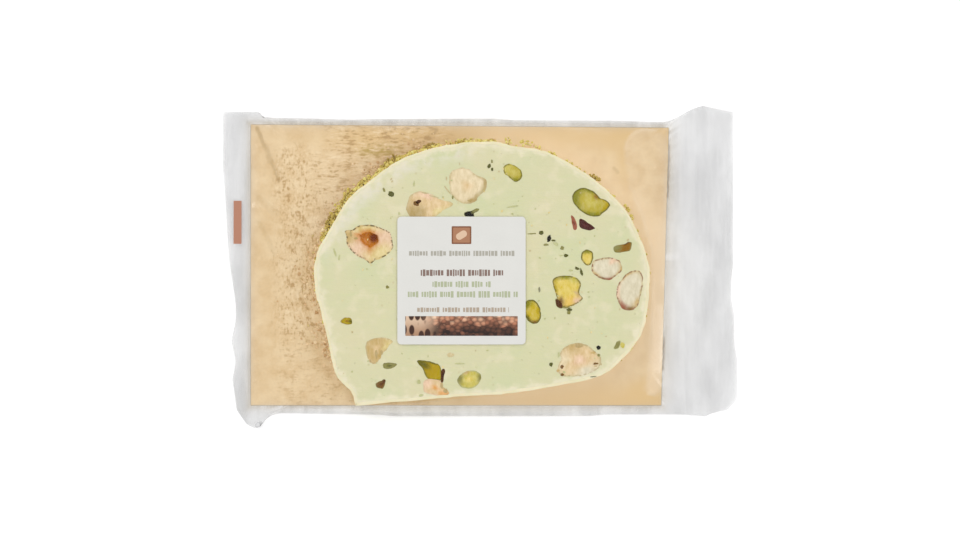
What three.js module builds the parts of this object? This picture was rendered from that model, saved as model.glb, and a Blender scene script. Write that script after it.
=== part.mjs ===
// A half-round slice of soft nougat on a gilt card, heat-sealed in a clear film bag,
// with a paper label stuck on the film over the slice.
//
// Millimetres, +Z up. The pack lies on its back with the label up and its long side along X.
// The origin is at the middle of its underside. The sealed bag is one closed solid: the film's
// outer form, drawn tight over the slice and the card, with its two flat end seals.

import * as THREE from "three";
import { mergeVertices } from "three/addons/utils/BufferGeometryUtils.js";

// ---- driving dimensions -------------------------------------------------------------------

const CARD_THICK = 0.8;
const SLICE_THICK = 12;
const FILM_ROOM = 0.45; // film above and below, and the air beside the card
const SHOULDER = 1.6; // width over which the film bends down off the slice's top edge
const TENT_SAG = 1.3; // 1 is a straight slope from the slice down to the seals
const EDGE_HEIGHT = 1.6; // the film's height where it folds round the card's edge
const SIDE_FOLD = 1.4; // width of the folded film along the two long sides
const CARD_CLEAR = 0.3; // the film's flat back reaches this far past the card
const FOOT_CLEAR = 0.2; // and stays this far inside the folds and seals

const SEAL_LEFT = -99.6; // x of the inner line of each end seal
const SEAL_RIGHT = 96.4;
const SEAL_WIDTH = 10; // the narrow side folds lift and wave in proportion to this
const SEAL_THICK = 0.6;
const SEAL_HEIGHT = 1; // middle of the seal, at its inner line
const SEAL_LIFT = 1.4; // how much higher its free edge stands
const SEAL_WAVE = 0.9; // depth of the waves along the free edge
const WAVE_LENGTH = 43;

const PLEAT_DEPTH = 0.55; // tension pleats that run from the seals towards the slice
const PLEAT_PITCH = 12.5;
const PLEAT_REACH = 24;

// Long folds where the film is pulled from the corners of the bag to the slice.
const FOLD_WIDTH = 3.2;
const FOLDS = [
  { from: [-94, 60], to: [-72, 24], rise: 0.9 },
  { from: [-86, 61], to: [-88, 8], rise: 0.5 },
  { from: [88, 64], to: [62, 31], rise: 1.1 },
  { from: [76, 58], to: [71, 8], rise: 0.6 },
  { from: [-92, -62], to: [-62, -44], rise: 0.9 },
  { from: [90, -60], to: [62, -38], rise: 0.9 },
];

const LABEL_WIDTH = 54.8;
const LABEL_HEIGHT = 54.6;
const LABEL_THICK = 0.25;
const LABEL_CORNER = 1.8;
const LABEL_MIDDLE = [-7.9, -5.8];

const RAY_STEP = THREE.MathUtils.degToRad(2.2); // widest angle between two lines of vertices
const CENTRE = [-12, -4]; // every outline can be seen whole from here

const TOP_HEIGHT = CARD_THICK + SLICE_THICK + FILM_ROOM;

// The card, from its top left corner, clockwise. Its right end is cut a little out of square.
const CARD_CORNERS = [
  [-98.7, 61.4],
  [81.3, 60],
  [78, -59.6],
  [-98.7, -59.6],
];

// The slice is cut from a round-topped loaf. Its outline runs clockwise from the sharp
// corner of its flat foot, up the left side, over the top and back along the foot.
const SLICE_OUTLINE = [
  [-53, -59.2],
  [-54.8, -54],
  [-56.5, -51.6],
  [-61, -46.9],
  [-63.2, -40.2],
  [-65.2, -30.3],
  [-66.6, -25.6],
  [-68.7, -16.2],
  [-69.9, -13],
  [-70.9, -2.1],
  [-69.2, 7.3],
  [-64.3, 15.8],
  [-56.5, 28.6],
  [-46.6, 37.2],
  [-35, 45.3],
  [-22.6, 50.1],
  [-9.4, 52.7],
  [4.3, 53.6],
  [15.4, 51.6],
  [25.6, 50],
  [31.2, 48],
  [42.7, 41.6],
  [52.1, 34.8],
  [60.7, 26],
  [64.1, 21.3],
  [68.8, 11.5],
  [71.8, 2.1],
  [72.5, -4.3],
  [71.6, -17.5],
  [70.2, -25.2],
  [68.1, -30.1],
  [62.6, -37.4],
  [53.8, -45.3],
  [42.7, -48.9],
  [14.1, -53.8],
  [-6, -55.1],
  [-53, -59.2],
];

// The film's outline, clockwise from the top left corner.
const FILM_TOP = [
  [-110.4, 66.7],
  [-94.6, 66.7],
  [-90.7, 64.1],
  [-74, 63.9],
  [-56, 63.3],
  [-44, 63.6],
  [6, 63.8],
  [15, 63.1],
  [60, 62.9],
  [81.4, 62.1],
  [90.5, 67.8],
  [96, 69.3],
  [99, 68.6],
];
const FILM_RIGHT = [
  [108.7, 66.7],
  [108.7, 1],
  [107.8, -6],
  [107.8, -14],
  [109.3, -21],
  [109.3, -33],
  [110.4, -40],
  [110.4, -57],
];
const FILM_BOTTOM = [
  [109.4, -58],
  [106.4, -61.3],
  [99.6, -62.9],
  [97, -64.2],
  [86, -63.4],
  [56, -63.4],
  [46, -64.1],
  [-36, -64.2],
  [-46, -63.5],
  [-88, -62.8],
  [-97, -69.3],
  [-100.4, -67.5],
];
const FILM_LEFT = [
  [-104.6, -61.5],
  [-106.4, -48.5],
  [-105, -40.5],
  [-106.8, -31.5],
  [-105, -23],
  [-105, -16],
  [-107.8, 3],
  [-109, 22],
  [-110.4, 43],
];

// ---- outlines and rays --------------------------------------------------------------------

const filmOutline = [...FILM_TOP, ...FILM_RIGHT, ...FILM_BOTTOM, ...FILM_LEFT];
const sliceOutline = new THREE.SplineCurve(SLICE_OUTLINE.map((p) => new THREE.Vector2(...p)))
  .getPoints(8 * SLICE_OUTLINE.length)
  .slice(1)
  .map((p) => [p.x, p.y]);

const fullTurn = 2 * Math.PI;
const angleOf = ([x, y]) => (Math.atan2(y - CENTRE[1], x - CENTRE[0]) + fullTurn) % fullTurn;

// Distance from the centre to an outline, along a ray.
function reach(outline, angle) {
  const [dx, dy] = [Math.cos(angle), Math.sin(angle)];
  let found = 0;
  outline.forEach(([ax, ay], i) => {
    const [bx, by] = outline[(i + 1) % outline.length];
    const [ex, ey] = [bx - ax, by - ay];
    const across = dx * ey - dy * ex;
    if (Math.abs(across) < 1e-12) return;
    const along = ((ax - CENTRE[0]) * ey - (ay - CENTRE[1]) * ex) / across;
    const share = ((ax - CENTRE[0]) * dy - (ay - CENTRE[1]) * dx) / across;
    if (along > 0 && share >= -1e-9 && share <= 1 + 1e-9) found = Math.max(found, along);
  });
  return found;
}

// Distance from the centre to the inner line of the seal that a ray meets.
function sealDistance(angle) {
  const dx = Math.cos(angle);
  const line = dx < 0 ? SEAL_LEFT : SEAL_RIGHT;
  return (line - CENTRE[0]) / dx;
}

// One ray through every corner of the film, the card and the slice's foot, with others between.
function rayAngles() {
  const corners = [...filmOutline, ...CARD_CORNERS, SLICE_OUTLINE[0]].map(angleOf);
  corners.sort((a, b) => a - b);
  const near = RAY_STEP / 16;
  const apart = corners.filter((a, i) => i === 0 || a - corners[i - 1] > near);
  return apart.flatMap((a, i) => {
    const next = i + 1 < apart.length ? apart[i + 1] : apart[0] + fullTurn;
    const count = Math.ceil((next - a) / RAY_STEP);
    return Array.from({ length: count }, (_, k) => a + ((next - a) * k) / count);
  });
}

const rays = rayAngles().map((angle) => {
  const film = reach(filmOutline, angle);
  return {
    angle,
    film,
    slice: reach(sliceOutline, angle),
    card: reach(CARD_CORNERS, angle),
    body: Math.min(film - SIDE_FOLD, sealDistance(angle)),
  };
});

const at = (ray, distance) => [
  CENTRE[0] + distance * Math.cos(ray.angle),
  CENTRE[1] + distance * Math.sin(ray.angle),
];

// ---- the film's form ----------------------------------------------------------------------

const { lerp, smoothstep } = THREE.MathUtils;

// Pleats run along X out of each seal and die out towards the slice.
function pleat(x, y) {
  const fromSeal = Math.min(x - SEAL_LEFT, SEAL_RIGHT - x);
  const share = 1 - smoothstep(fromSeal, 0, PLEAT_REACH);
  return PLEAT_DEPTH * share * Math.sin((fullTurn * y) / PLEAT_PITCH + 0.04 * x);
}

// A fold is a rounded ridge that rises and dies out along its own line.
function foldRise(x, y, { from, to, rise }) {
  const [dx, dy] = [to[0] - from[0], to[1] - from[1]];
  const length = Math.hypot(dx, dy);
  const along = ((x - from[0]) * dx + (y - from[1]) * dy) / length ** 2;
  const aside = ((x - from[0]) * dy - (y - from[1]) * dx) / length;
  if (along < 0 || along > 1) return 0;
  return rise * Math.sin(Math.PI * along) * Math.exp(-((aside / FOLD_WIDTH) ** 2));
}

const folds = (x, y) => FOLDS.reduce((sum, fold) => sum + foldRise(x, y, fold), 0);

// How far the middle of a seal stands above the ground: share is 0 at its inner line.
function sealMiddle(x, y, ray, share) {
  const wave = Math.sin((fullTurn * y) / WAVE_LENGTH + (x < 0 ? 0.6 : 2.4));
  const width = Math.min(1, (ray.film - ray.body) / SEAL_WIDTH);
  return SEAL_HEIGHT + share * width * (SEAL_LIFT + SEAL_WAVE * wave);
}

// A ring of vertices: distance and height both come from the ray.
const ring = (distanceOf, heightOf) =>
  rays.map((ray) => {
    const [x, y] = at(ray, distanceOf(ray));
    return [x, y, heightOf(x, y, ray)];
  });

// The shares of the way at which a slope or a seal has a ring.
const TENT_SHARES = [0.07, 0.18, 0.3, 0.43, 0.56, 0.69, 0.81, 0.91];
const SEAL_SHARES = [0, 0.33, 0.67, 1];

const tentFoot = (ray) => ray.slice + SHOULDER / 3;

const plateauRing = ring(
  (ray) => ray.slice - SHOULDER,
  () => TOP_HEIGHT,
);
const shoulderRing = ring(tentFoot, () => TOP_HEIGHT - SHOULDER / 4);
const tentRings = TENT_SHARES.map((share) =>
  ring(
    (ray) => lerp(tentFoot(ray), ray.body, share),
    (x, y) => {
      const slope = (1 - share) ** TENT_SAG;
      const height = lerp(EDGE_HEIGHT, TOP_HEIGHT - SHOULDER / 4, slope);
      const relief = pleat(x, y) + folds(x, y);
      return height + relief * Math.min(1, 4 * share * (1 - share));
    },
  ),
);
const sealTopRings = SEAL_SHARES.map((share) =>
  ring(
    (ray) => lerp(ray.body, ray.film, share),
    (x, y, ray) => {
      const half = lerp(EDGE_HEIGHT - SEAL_HEIGHT, SEAL_THICK / 2, share);
      return sealMiddle(x, y, ray, share) + half;
    },
  ),
);
const sealUnderRings = SEAL_SHARES.map((share) =>
  ring(
    (ray) => lerp(ray.body, ray.film, share),
    (x, y, ray) => sealMiddle(x, y, ray, share) - SEAL_THICK / 2,
  ),
).reverse();
const footRing = ring(
  (ray) => Math.min(ray.card + CARD_CLEAR, ray.body - FOOT_CLEAR),
  () => 0,
);

// ---- meshes -------------------------------------------------------------------------------

// A closed body from rings that run anticlockwise, the first on top: each pair of rings is
// joined by a strip, and the first and last rings are filled flat to the centre.
function ringSolid(rings) {
  const [top, bottom] = [rings[0], rings.at(-1)];
  const vertices = [...rings.flat(), [...CENTRE, top[0][2]], [...CENTRE, bottom[0][2]]];
  const count = top.length;
  const [topMiddle, bottomMiddle] = [vertices.length - 2, vertices.length - 1];
  const faces = [];
  for (let i = 0; i < count; i++) {
    const j = (i + 1) % count;
    faces.push(topMiddle, i, j);
    for (let r = 0; r + 1 < rings.length; r++) {
      const [a, b] = [r * count, (r + 1) * count];
      faces.push(a + i, b + i, b + j, a + i, b + j, a + j);
    }
    const last = (rings.length - 1) * count;
    faces.push(bottomMiddle, last + j, last + i);
  }
  const geometry = new THREE.BufferGeometry();
  geometry.setAttribute("position", new THREE.Float32BufferAttribute(vertices.flat(), 3));
  geometry.setIndex(faces);
  const closed = mergeVertices(geometry, 1e-3);
  closed.computeVertexNormals();
  return closed;
}

function bag() {
  const geometry = ringSolid([
    plateauRing,
    shoulderRing,
    ...tentRings,
    ...sealTopRings,
    ...sealUnderRings,
    footRing,
  ]);
  const film = new THREE.MeshStandardMaterial({
    color: 0xe2e0d6,
    roughness: 0.2,
    metalness: 0,
  });
  const mesh = new THREE.Mesh(geometry, film);
  mesh.name = "bag";
  return mesh;
}

function label() {
  const [x, y, r] = [LABEL_WIDTH / 2, LABEL_HEIGHT / 2, LABEL_CORNER];
  const outline = new THREE.Shape();
  outline.moveTo(x - r, -y);
  outline.absarc(x - r, -y + r, r, -Math.PI / 2, 0);
  outline.absarc(x - r, y - r, r, 0, Math.PI / 2);
  outline.absarc(-x + r, y - r, r, Math.PI / 2, Math.PI);
  outline.absarc(-x + r, -y + r, r, Math.PI, 1.5 * Math.PI);
  const geometry = new THREE.ExtrudeGeometry(outline, {
    depth: LABEL_THICK,
    bevelEnabled: false,
    curveSegments: 6,
  });
  const paper = new THREE.MeshStandardMaterial({
    color: 0xf2efe9,
    roughness: 0.55,
    metalness: 0,
  });
  const mesh = new THREE.Mesh(geometry, paper);
  mesh.name = "label";
  mesh.position.set(...LABEL_MIDDLE, TOP_HEIGHT);
  return mesh;
}

const pack = new THREE.Group();
pack.name = "packed_nougat_slice";
pack.add(bag(), label());

export default pack;
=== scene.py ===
"""The look of a wrapped slice of soft nougat: clear film bag, gilt card, slice with its nuts, label.

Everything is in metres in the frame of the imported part. Sizes are written in millimetres times MM.
"""

import contextlib
import math

import bmesh
import bpy
import numpy as np
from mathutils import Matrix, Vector, noise
from mathutils.bvhtree import BVHTree
from mathutils.kdtree import KDTree


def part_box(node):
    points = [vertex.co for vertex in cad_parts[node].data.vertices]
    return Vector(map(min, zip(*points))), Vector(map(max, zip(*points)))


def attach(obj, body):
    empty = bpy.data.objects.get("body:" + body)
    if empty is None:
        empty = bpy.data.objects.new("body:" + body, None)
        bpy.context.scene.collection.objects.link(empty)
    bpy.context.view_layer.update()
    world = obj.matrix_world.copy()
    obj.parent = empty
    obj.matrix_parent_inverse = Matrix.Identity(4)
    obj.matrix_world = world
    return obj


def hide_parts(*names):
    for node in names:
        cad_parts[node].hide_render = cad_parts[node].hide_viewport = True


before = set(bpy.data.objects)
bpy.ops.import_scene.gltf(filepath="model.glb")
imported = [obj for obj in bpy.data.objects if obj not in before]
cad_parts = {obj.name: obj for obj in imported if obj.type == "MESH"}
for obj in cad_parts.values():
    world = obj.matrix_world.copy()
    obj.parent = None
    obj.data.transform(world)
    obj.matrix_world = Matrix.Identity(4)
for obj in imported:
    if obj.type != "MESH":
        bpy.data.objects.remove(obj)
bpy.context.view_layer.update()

# ---- sizes --------------------------------------------------------------------------------------

MM = 0.001

CARD_BOTTOM = 0.2  # heights above the surface that the pack lies on
CARD_TOP = 1.0
CUT_FACE = 12.9  # the cut face of the nougat
FILM_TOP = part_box("bag")[1].z / MM
LABEL_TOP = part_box("label")[1].z / MM

CARD_CORNERS = [(-98.7, 61.4), (81.3, 60.0), (78.0, -59.6), (-98.7, -59.6)]
SLICE_OUTLINE = [
    (-53.0, -59.2), (-54.8, -54.0), (-56.5, -51.6), (-61.0, -46.9), (-63.2, -40.2),
    (-65.2, -30.3), (-66.6, -25.6), (-68.7, -16.2), (-69.9, -13.0), (-70.9, -2.1), (-69.2, 7.3),
    (-64.3, 15.8), (-56.5, 28.6), (-46.6, 37.2), (-35.0, 45.3), (-22.6, 50.1), (-9.4, 52.7),
    (4.3, 53.6), (15.4, 51.6), (25.6, 50.0), (31.2, 48.0), (42.7, 41.6), (52.1, 34.8),
    (60.7, 26.0), (64.1, 21.3), (68.8, 11.5), (71.8, 2.1), (72.5, -4.3), (71.6, -17.5),
    (70.2, -25.2), (68.1, -30.1), (62.6, -37.4), (53.8, -45.3), (42.7, -48.9), (14.1, -53.8),
    (-6.0, -55.1), (-53.0, -59.2),
]
SLICE_HEART = (-12.0, -4.0)  # a place inside the slice, from which its coating swells outwards
SEAL_LEFT = -99.6  # where the flat end seals of the film begin
SEAL_RIGHT = 96.4
COAT = 1.2  # thickness of the white coating
SOFT_EDGE = 0.3  # width of the rounded edges of card and coating


# ---- hand tools ---------------------------------------------------------------------------------

def take(*pieces):
    """Selects these pieces alone; the first one is the active one."""
    bpy.ops.object.select_all(action="DESELECT")
    for piece in pieces:
        piece.select_set(True)
    bpy.context.view_layer.objects.active = pieces[0]
    return pieces[0]


@contextlib.contextmanager
def bench(piece, pick="FACE"):
    """Edit mode on one piece, with nothing selected."""
    take(piece)
    bpy.ops.object.mode_set(mode="EDIT")
    bpy.ops.mesh.select_mode(type=pick)
    bpy.ops.mesh.select_all(action="DESELECT")
    yield
    bpy.ops.object.mode_set(mode="OBJECT")


def named(name):
    """Names the primitive that was just added."""
    piece = bpy.context.active_object
    piece.name = name
    piece.data.name = name
    return piece


def modify(piece, kind, **settings):
    """Adds a modifier with these settings and applies it."""
    take(piece)
    made = piece.modifiers.new(kind.lower(), kind)
    for key, value in settings.items():
        setattr(made, key, value)
    bpy.ops.object.modifier_apply(modifier=made.name)
    return piece


def join(name, pieces):
    """Joins pieces into one mesh with this name."""
    whole = take(*pieces)
    if len(pieces) > 1:
        bpy.ops.object.join()
    whole.name = name
    whole.data.name = name
    return whole


def draw_up(piece, height):
    """Draws all of a flat piece up by so many millimetres and turns its faces outwards."""
    with bench(piece):
        bpy.ops.mesh.select_all(action="SELECT")
        bpy.ops.mesh.extrude_region_move(TRANSFORM_OT_translate={"value": (0, 0, height * MM)})
        bpy.ops.mesh.select_all(action="SELECT")
        bpy.ops.mesh.normals_make_consistent(inside=False)


def points(piece):
    """The piece's vertices, in millimetres."""
    found = np.empty(len(piece.data.vertices) * 3, np.float32)
    piece.data.vertices.foreach_get("co", found)
    return found.reshape(-1, 3).astype(float) / MM


def move_points(piece, places):
    """Sets the piece's vertices from places in millimetres."""
    piece.data.vertices.foreach_set("co", (np.asarray(places) * MM).astype(np.float32).ravel())
    piece.data.update()


def mark_points(piece, name, values):
    """Gives every vertex a number that a material can read."""
    layer = piece.data.attributes.get(name) or piece.data.attributes.new(name, "FLOAT", "POINT")
    layer.data.foreach_set("value", np.asarray(values, np.float32))


def paint_points(piece, colours):
    """Gives every vertex a colour that a material can read."""
    layer = piece.data.attributes.new("paint", "FLOAT_COLOR", "POINT")
    layer.data.foreach_set("color", np.asarray(colours, np.float32).ravel())


def finish_with(piece, *materials):
    """Replaces the piece's material slots."""
    piece.data.materials.clear()
    for material in materials:
        piece.data.materials.append(material)
    return piece


def grain(x, y, size, seed=0.0):
    """Smooth noise from -1 to 1 with features about size wide."""
    return noise.noise(Vector((x / size, y / size, seed)))


def mixed(a, b, share):
    """Colours between a and b, one for each share."""
    return a + (b - a) * np.reshape(share, (-1, 1))


def off_stretch(spots, a, b):
    """How far each spot is from the straight line from a to b, and how far along it, as a share."""
    line = np.subtract(b, a)
    away = spots - a
    along = np.clip(away @ line / (line @ line), 0, 1)
    return np.linalg.norm(away - along[:, None] * line, axis=1), along


def soft_step(value, low, high):
    """0 at low, 1 at high and a smooth rise between them; high may be the lower number."""
    share = np.clip((value - low) / (high - low), 0, 1)
    return share * share * (3 - 2 * share)


def smooth_line(corners, steps, closed=False):
    """Points along a curve that passes through the corners, steps to each stretch."""
    line = []
    count = len(corners)
    for i in range(count if closed else count - 1):
        around = (i - 1, i, i + 1, i + 2)
        picked = [j % count for j in around] if closed else [min(max(j, 0), count - 1) for j in around]
        before, a, b, after = (np.array(corners[j], float) for j in picked)
        for t in np.arange(steps) / steps:
            pull = (b - before) * t + (2 * before - 5 * a + 4 * b - after) * t**2
            line.append(a + 0.5 * (pull + (3 * a - before - 3 * b + after) * t**3))
    return np.array(line)


def inward(line, distance):
    """A closed line moved inwards by a distance, or by one distance for each point."""
    ahead = np.roll(line, -1, 0) - np.roll(line, 1, 0)
    normal = np.stack([ahead[:, 1], -ahead[:, 0]], 1)
    normal /= np.linalg.norm(normal, axis=1, keepdims=True)
    return line + normal * np.reshape(distance, (-1, 1))


# ---- camera, light and floor ----------------------------------------------------------------------

MM_PER_PIXEL = 0.43
IMAGE_WIDTH = 960
IMAGE_MIDDLE = (0.0, -1.29)  # the point of the card plane in the middle of the image
CAMERA_HEIGHT = 1800.0
SENSOR = 36.0
VIEW_RANGE = (0.05, 20.0)  # nearest and farthest that the camera sees, in metres
FLOOR_SIZE = 6.0
FLOOR_GLOW = 0.16  # keeps the ground white right beside the pack
ROOM_LIGHT = 0.8

# The soft boxes: name, place, size and power, in metres and watts.
SOFT_BOXES = [
    ("key_light", (-0.9, 0.9, 1.5), (1.1, 1.1), 8),
    ("fill_light", (1.3, -0.5, 1.2), (0.9, 0.9), 5),
    ("back_light", (0.2, 1.6, 0.8), (1.6, 0.6), 2.5),
]


def studio():
    """Camera straight above the card, an even room light, three soft boxes and the floor."""
    lens = bpy.data.cameras.new("camera")
    lens.sensor_width = SENSOR
    lens.lens = SENSOR * (CAMERA_HEIGHT - CARD_TOP) / (MM_PER_PIXEL * IMAGE_WIDTH)
    lens.clip_start, lens.clip_end = VIEW_RANGE
    camera = bpy.data.objects.new("camera", lens)
    camera.location = Vector((*IMAGE_MIDDLE, CAMERA_HEIGHT)) * MM
    bpy.context.scene.collection.objects.link(camera)
    bpy.context.scene.camera = camera

    sky = bpy.data.worlds.new("soft_room")
    sky.use_nodes = True
    sky.node_tree.nodes["Background"].inputs["Color"].default_value = (1, 1, 1, 1)
    sky.node_tree.nodes["Background"].inputs["Strength"].default_value = ROOM_LIGHT
    bpy.context.scene.world = sky
    bpy.context.scene.view_settings.view_transform = "Standard"

    for name, place, size, power in SOFT_BOXES:
        light = bpy.data.lights.new(name, "AREA")
        light.shape = "RECTANGLE"
        light.size, light.size_y = size
        light.energy = power
        box = bpy.data.objects.new(name, light)
        box.location = place
        box.rotation_mode = "QUATERNION"
        box.rotation_quaternion = (-Vector(place)).to_track_quat("-Z", "Y")
        bpy.context.scene.collection.objects.link(box)

    bpy.ops.object.select_all(action="DESELECT")
    bpy.ops.mesh.primitive_plane_add(size=FLOOR_SIZE)
    floor = named("floor")
    finish_with(floor, floor_finish())


# ---- finishes: shared groups ----------------------------------------------------------------------

class Nodes:
    """Short calls for building a node tree. A value is a number, a colour or another node's output."""

    def __init__(self, tree):
        self.tree = tree

    def add(self, kind, sockets=None, **settings):
        """A new node with these settings and these values on its sockets."""
        made = self.tree.nodes.new(kind)
        for key, value in settings.items():
            setattr(made, key, value)
        for key, value in (sockets or {}).items():
            self.feed(made.inputs[key], value)
        return made

    def feed(self, socket, value):
        """Links an output to a socket, or sets the socket's constant."""
        if isinstance(value, bpy.types.NodeSocket):
            self.tree.links.new(value, socket)
        else:
            socket.default_value = value

    def sum(self, operation, *values, clamp=False):
        """The result of one step of arithmetic."""
        made = self.add("ShaderNodeMath", operation=operation, use_clamp=clamp)
        for i, value in enumerate(values):
            self.feed(made.inputs[i], value)
        return made.outputs[0]

    def rest(self, value):
        """What is missing from a value to make 1."""
        return self.sum("SUBTRACT", 1.0, value)

    def mix(self, share, a, b, blend="MIX"):
        """Colour a, turned into b by a share."""
        made = self.add("ShaderNodeMix", data_type="RGBA", blend_type=blend)
        for key, value in (("Factor_Float", share), ("A_Color", a), ("B_Color", b)):
            self.feed(next(s for s in made.inputs if s.identifier == key), value)
        return next(s for s in made.outputs if s.identifier == "Result_Color")

    def step(self, value, low, high, out_low=0.0, out_high=1.0):
        """Smooth step: out_low below low, out_high above high."""
        return self.add(
            "ShaderNodeMapRange",
            {"Value": value, "From Min": low, "From Max": high, "To Min": out_low, "To Max": out_high},
            interpolation_type="SMOOTHSTEP",
        ).outputs["Result"]

    def grey(self, brightness):
        """A grey of this brightness."""
        return self.add(
            "ShaderNodeCombineColor", {key: brightness for key in ("Red", "Green", "Blue")}
        ).outputs["Color"]

    def ramp(self, value, stops):
        """A colour that a value picks from stops of (value, colour)."""
        made = self.add("ShaderNodeValToRGB", {"Fac": value})
        elements = made.color_ramp.elements
        for _ in stops[2:]:
            elements.new(0.5)
        for element, (at, colour) in zip(elements, stops):
            element.position = at
            element.color = colour
        return made.outputs["Color"]

    def place(self):
        """The place on the piece."""
        return self.add("ShaderNodeTexCoord").outputs["Object"]

    def stretched(self, vector, scale, turn=0.0):
        """A place scaled along each axis and turned by so many degrees, seen from above."""
        return self.add(
            "ShaderNodeMapping",
            {"Vector": vector, "Scale": scale, "Rotation": (0, 0, math.radians(turn))},
        ).outputs["Vector"]

    def noise(self, vector, size, detail=2.0, roughness=0.5):
        """Noise from 0 to 1 with features about size millimetres wide."""
        return self.add(
            "ShaderNodeTexNoise",
            {"Vector": vector, "Scale": 1 / (size * MM), "Detail": detail, "Roughness": roughness},
        ).outputs["Fac"]

    def own(self, name):
        """A number that the piece's points carry."""
        return self.add("ShaderNodeAttribute", attribute_name=name).outputs["Fac"]

    def bump(self, height, depth, before=None):
        """A bump of so many millimetres from a height between 0 and 1."""
        made = self.add("ShaderNodeBump", {"Height": height, "Strength": 1.0, "Distance": depth * MM})
        if before is not None:
            self.feed(made.inputs["Normal"], before)
        return made.outputs["Normal"]


def ink(red, green, blue):
    """A colour from 0 to 255 as the eye sees it, as light."""
    def light(value):
        """One channel, as light."""
        value /= 255
        return value / 12.92 if value <= 0.04045 else ((value + 0.055) / 1.055) ** 2.4
    return (light(red), light(green), light(blue), 1.0)


def group(name, numbers, results):
    """An empty node group: numbers are {input: default}, results are {output: socket type}."""
    tree = bpy.data.node_groups.new(name, "ShaderNodeTree")
    for key, value in numbers.items():
        kind = "NodeSocketColor" if isinstance(value, tuple) else "NodeSocketFloat"
        tree.interface.new_socket(key, in_out="INPUT", socket_type=kind).default_value = value
    for key, kind in results.items():
        tree.interface.new_socket(key, in_out="OUTPUT", socket_type=kind)
    nodes = Nodes(tree)
    return nodes, nodes.add("NodeGroupInput").outputs, nodes.add("NodeGroupOutput").inputs


def mottle_group():
    """Soft patches of two colours with a fine grain of light and dark over them."""
    nodes, given, result = group(
        "mottle",
        {"Patch": 90.0, "Grain": 900.0, "Spread": 0.5, "Grit": 0.1,
         "One": (0.8, 0.8, 0.8, 1.0), "Other": (0.6, 0.6, 0.6, 1.0)},
        {"Color": "NodeSocketColor", "Height": "NodeSocketFloat"},
    )
    place = nodes.place()
    patch = nodes.add("ShaderNodeTexNoise", {"Vector": place, "Scale": given["Patch"], "Detail": 3.0})
    fine = nodes.add("ShaderNodeTexNoise", {"Vector": place, "Scale": given["Grain"], "Detail": 2.0})
    share = nodes.sum("MULTIPLY_ADD", nodes.sum("SUBTRACT", patch.outputs["Fac"], 0.5),
                      nodes.sum("MULTIPLY", given["Spread"], 4.0), 0.5, clamp=True)
    base = nodes.mix(share, given["One"], given["Other"])
    shade = nodes.sum("MULTIPLY_ADD", nodes.sum("SUBTRACT", fine.outputs["Fac"], 0.5),
                      given["Grit"], 1.0)
    nodes.feed(result["Color"], nodes.mix(1.0, base, nodes.grey(shade), "MULTIPLY"))
    nodes.feed(result["Height"], nodes.sum("MULTIPLY_ADD", fine.outputs["Fac"], 0.4,
                                           nodes.sum("MULTIPLY", patch.outputs["Fac"], 0.6)))
    return nodes.tree


def speckle_group():
    """Scattered round specks: a mask of 1 on a speck. Cover is the share of cells that hold one."""
    nodes, given, result = group(
        "speckle",
        {"Scale": 500.0, "Cover": 0.2, "Size": 0.35},
        {"Mask": "NodeSocketFloat", "Tone": "NodeSocketFloat"},
    )
    cells = nodes.add("ShaderNodeTexVoronoi", {"Vector": nodes.place(), "Scale": given["Scale"]})
    tone = nodes.add("ShaderNodeSeparateColor", {"Color": cells.outputs["Color"]})
    near = nodes.rest(nodes.add(
        "ShaderNodeMapRange",
        {"Value": cells.outputs["Distance"], "From Min": nodes.sum("MULTIPLY", given["Size"], 0.6),
         "From Max": given["Size"]},
    ).outputs["Result"])
    chosen = nodes.sum("LESS_THAN", tone.outputs["Red"], given["Cover"])
    nodes.feed(result["Mask"], nodes.sum("MULTIPLY", near, chosen, clamp=True))
    nodes.feed(result["Tone"], tone.outputs["Green"])
    return nodes.tree


def knife_group():
    """Fine streaks that a knife leaves on a cut face, as a height."""
    nodes, given, result = group("knife_marks", {"Scale": 60.0}, {"Height": "NodeSocketFloat"})
    along = nodes.stretched(nodes.place(), (1.0, 9.0, 1.0), 14)
    streaks = nodes.add("ShaderNodeTexNoise", {"Vector": along, "Scale": given["Scale"], "Detail": 4.0})
    nodes.feed(result["Height"], streaks.outputs["Fac"])
    return nodes.tree


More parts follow.
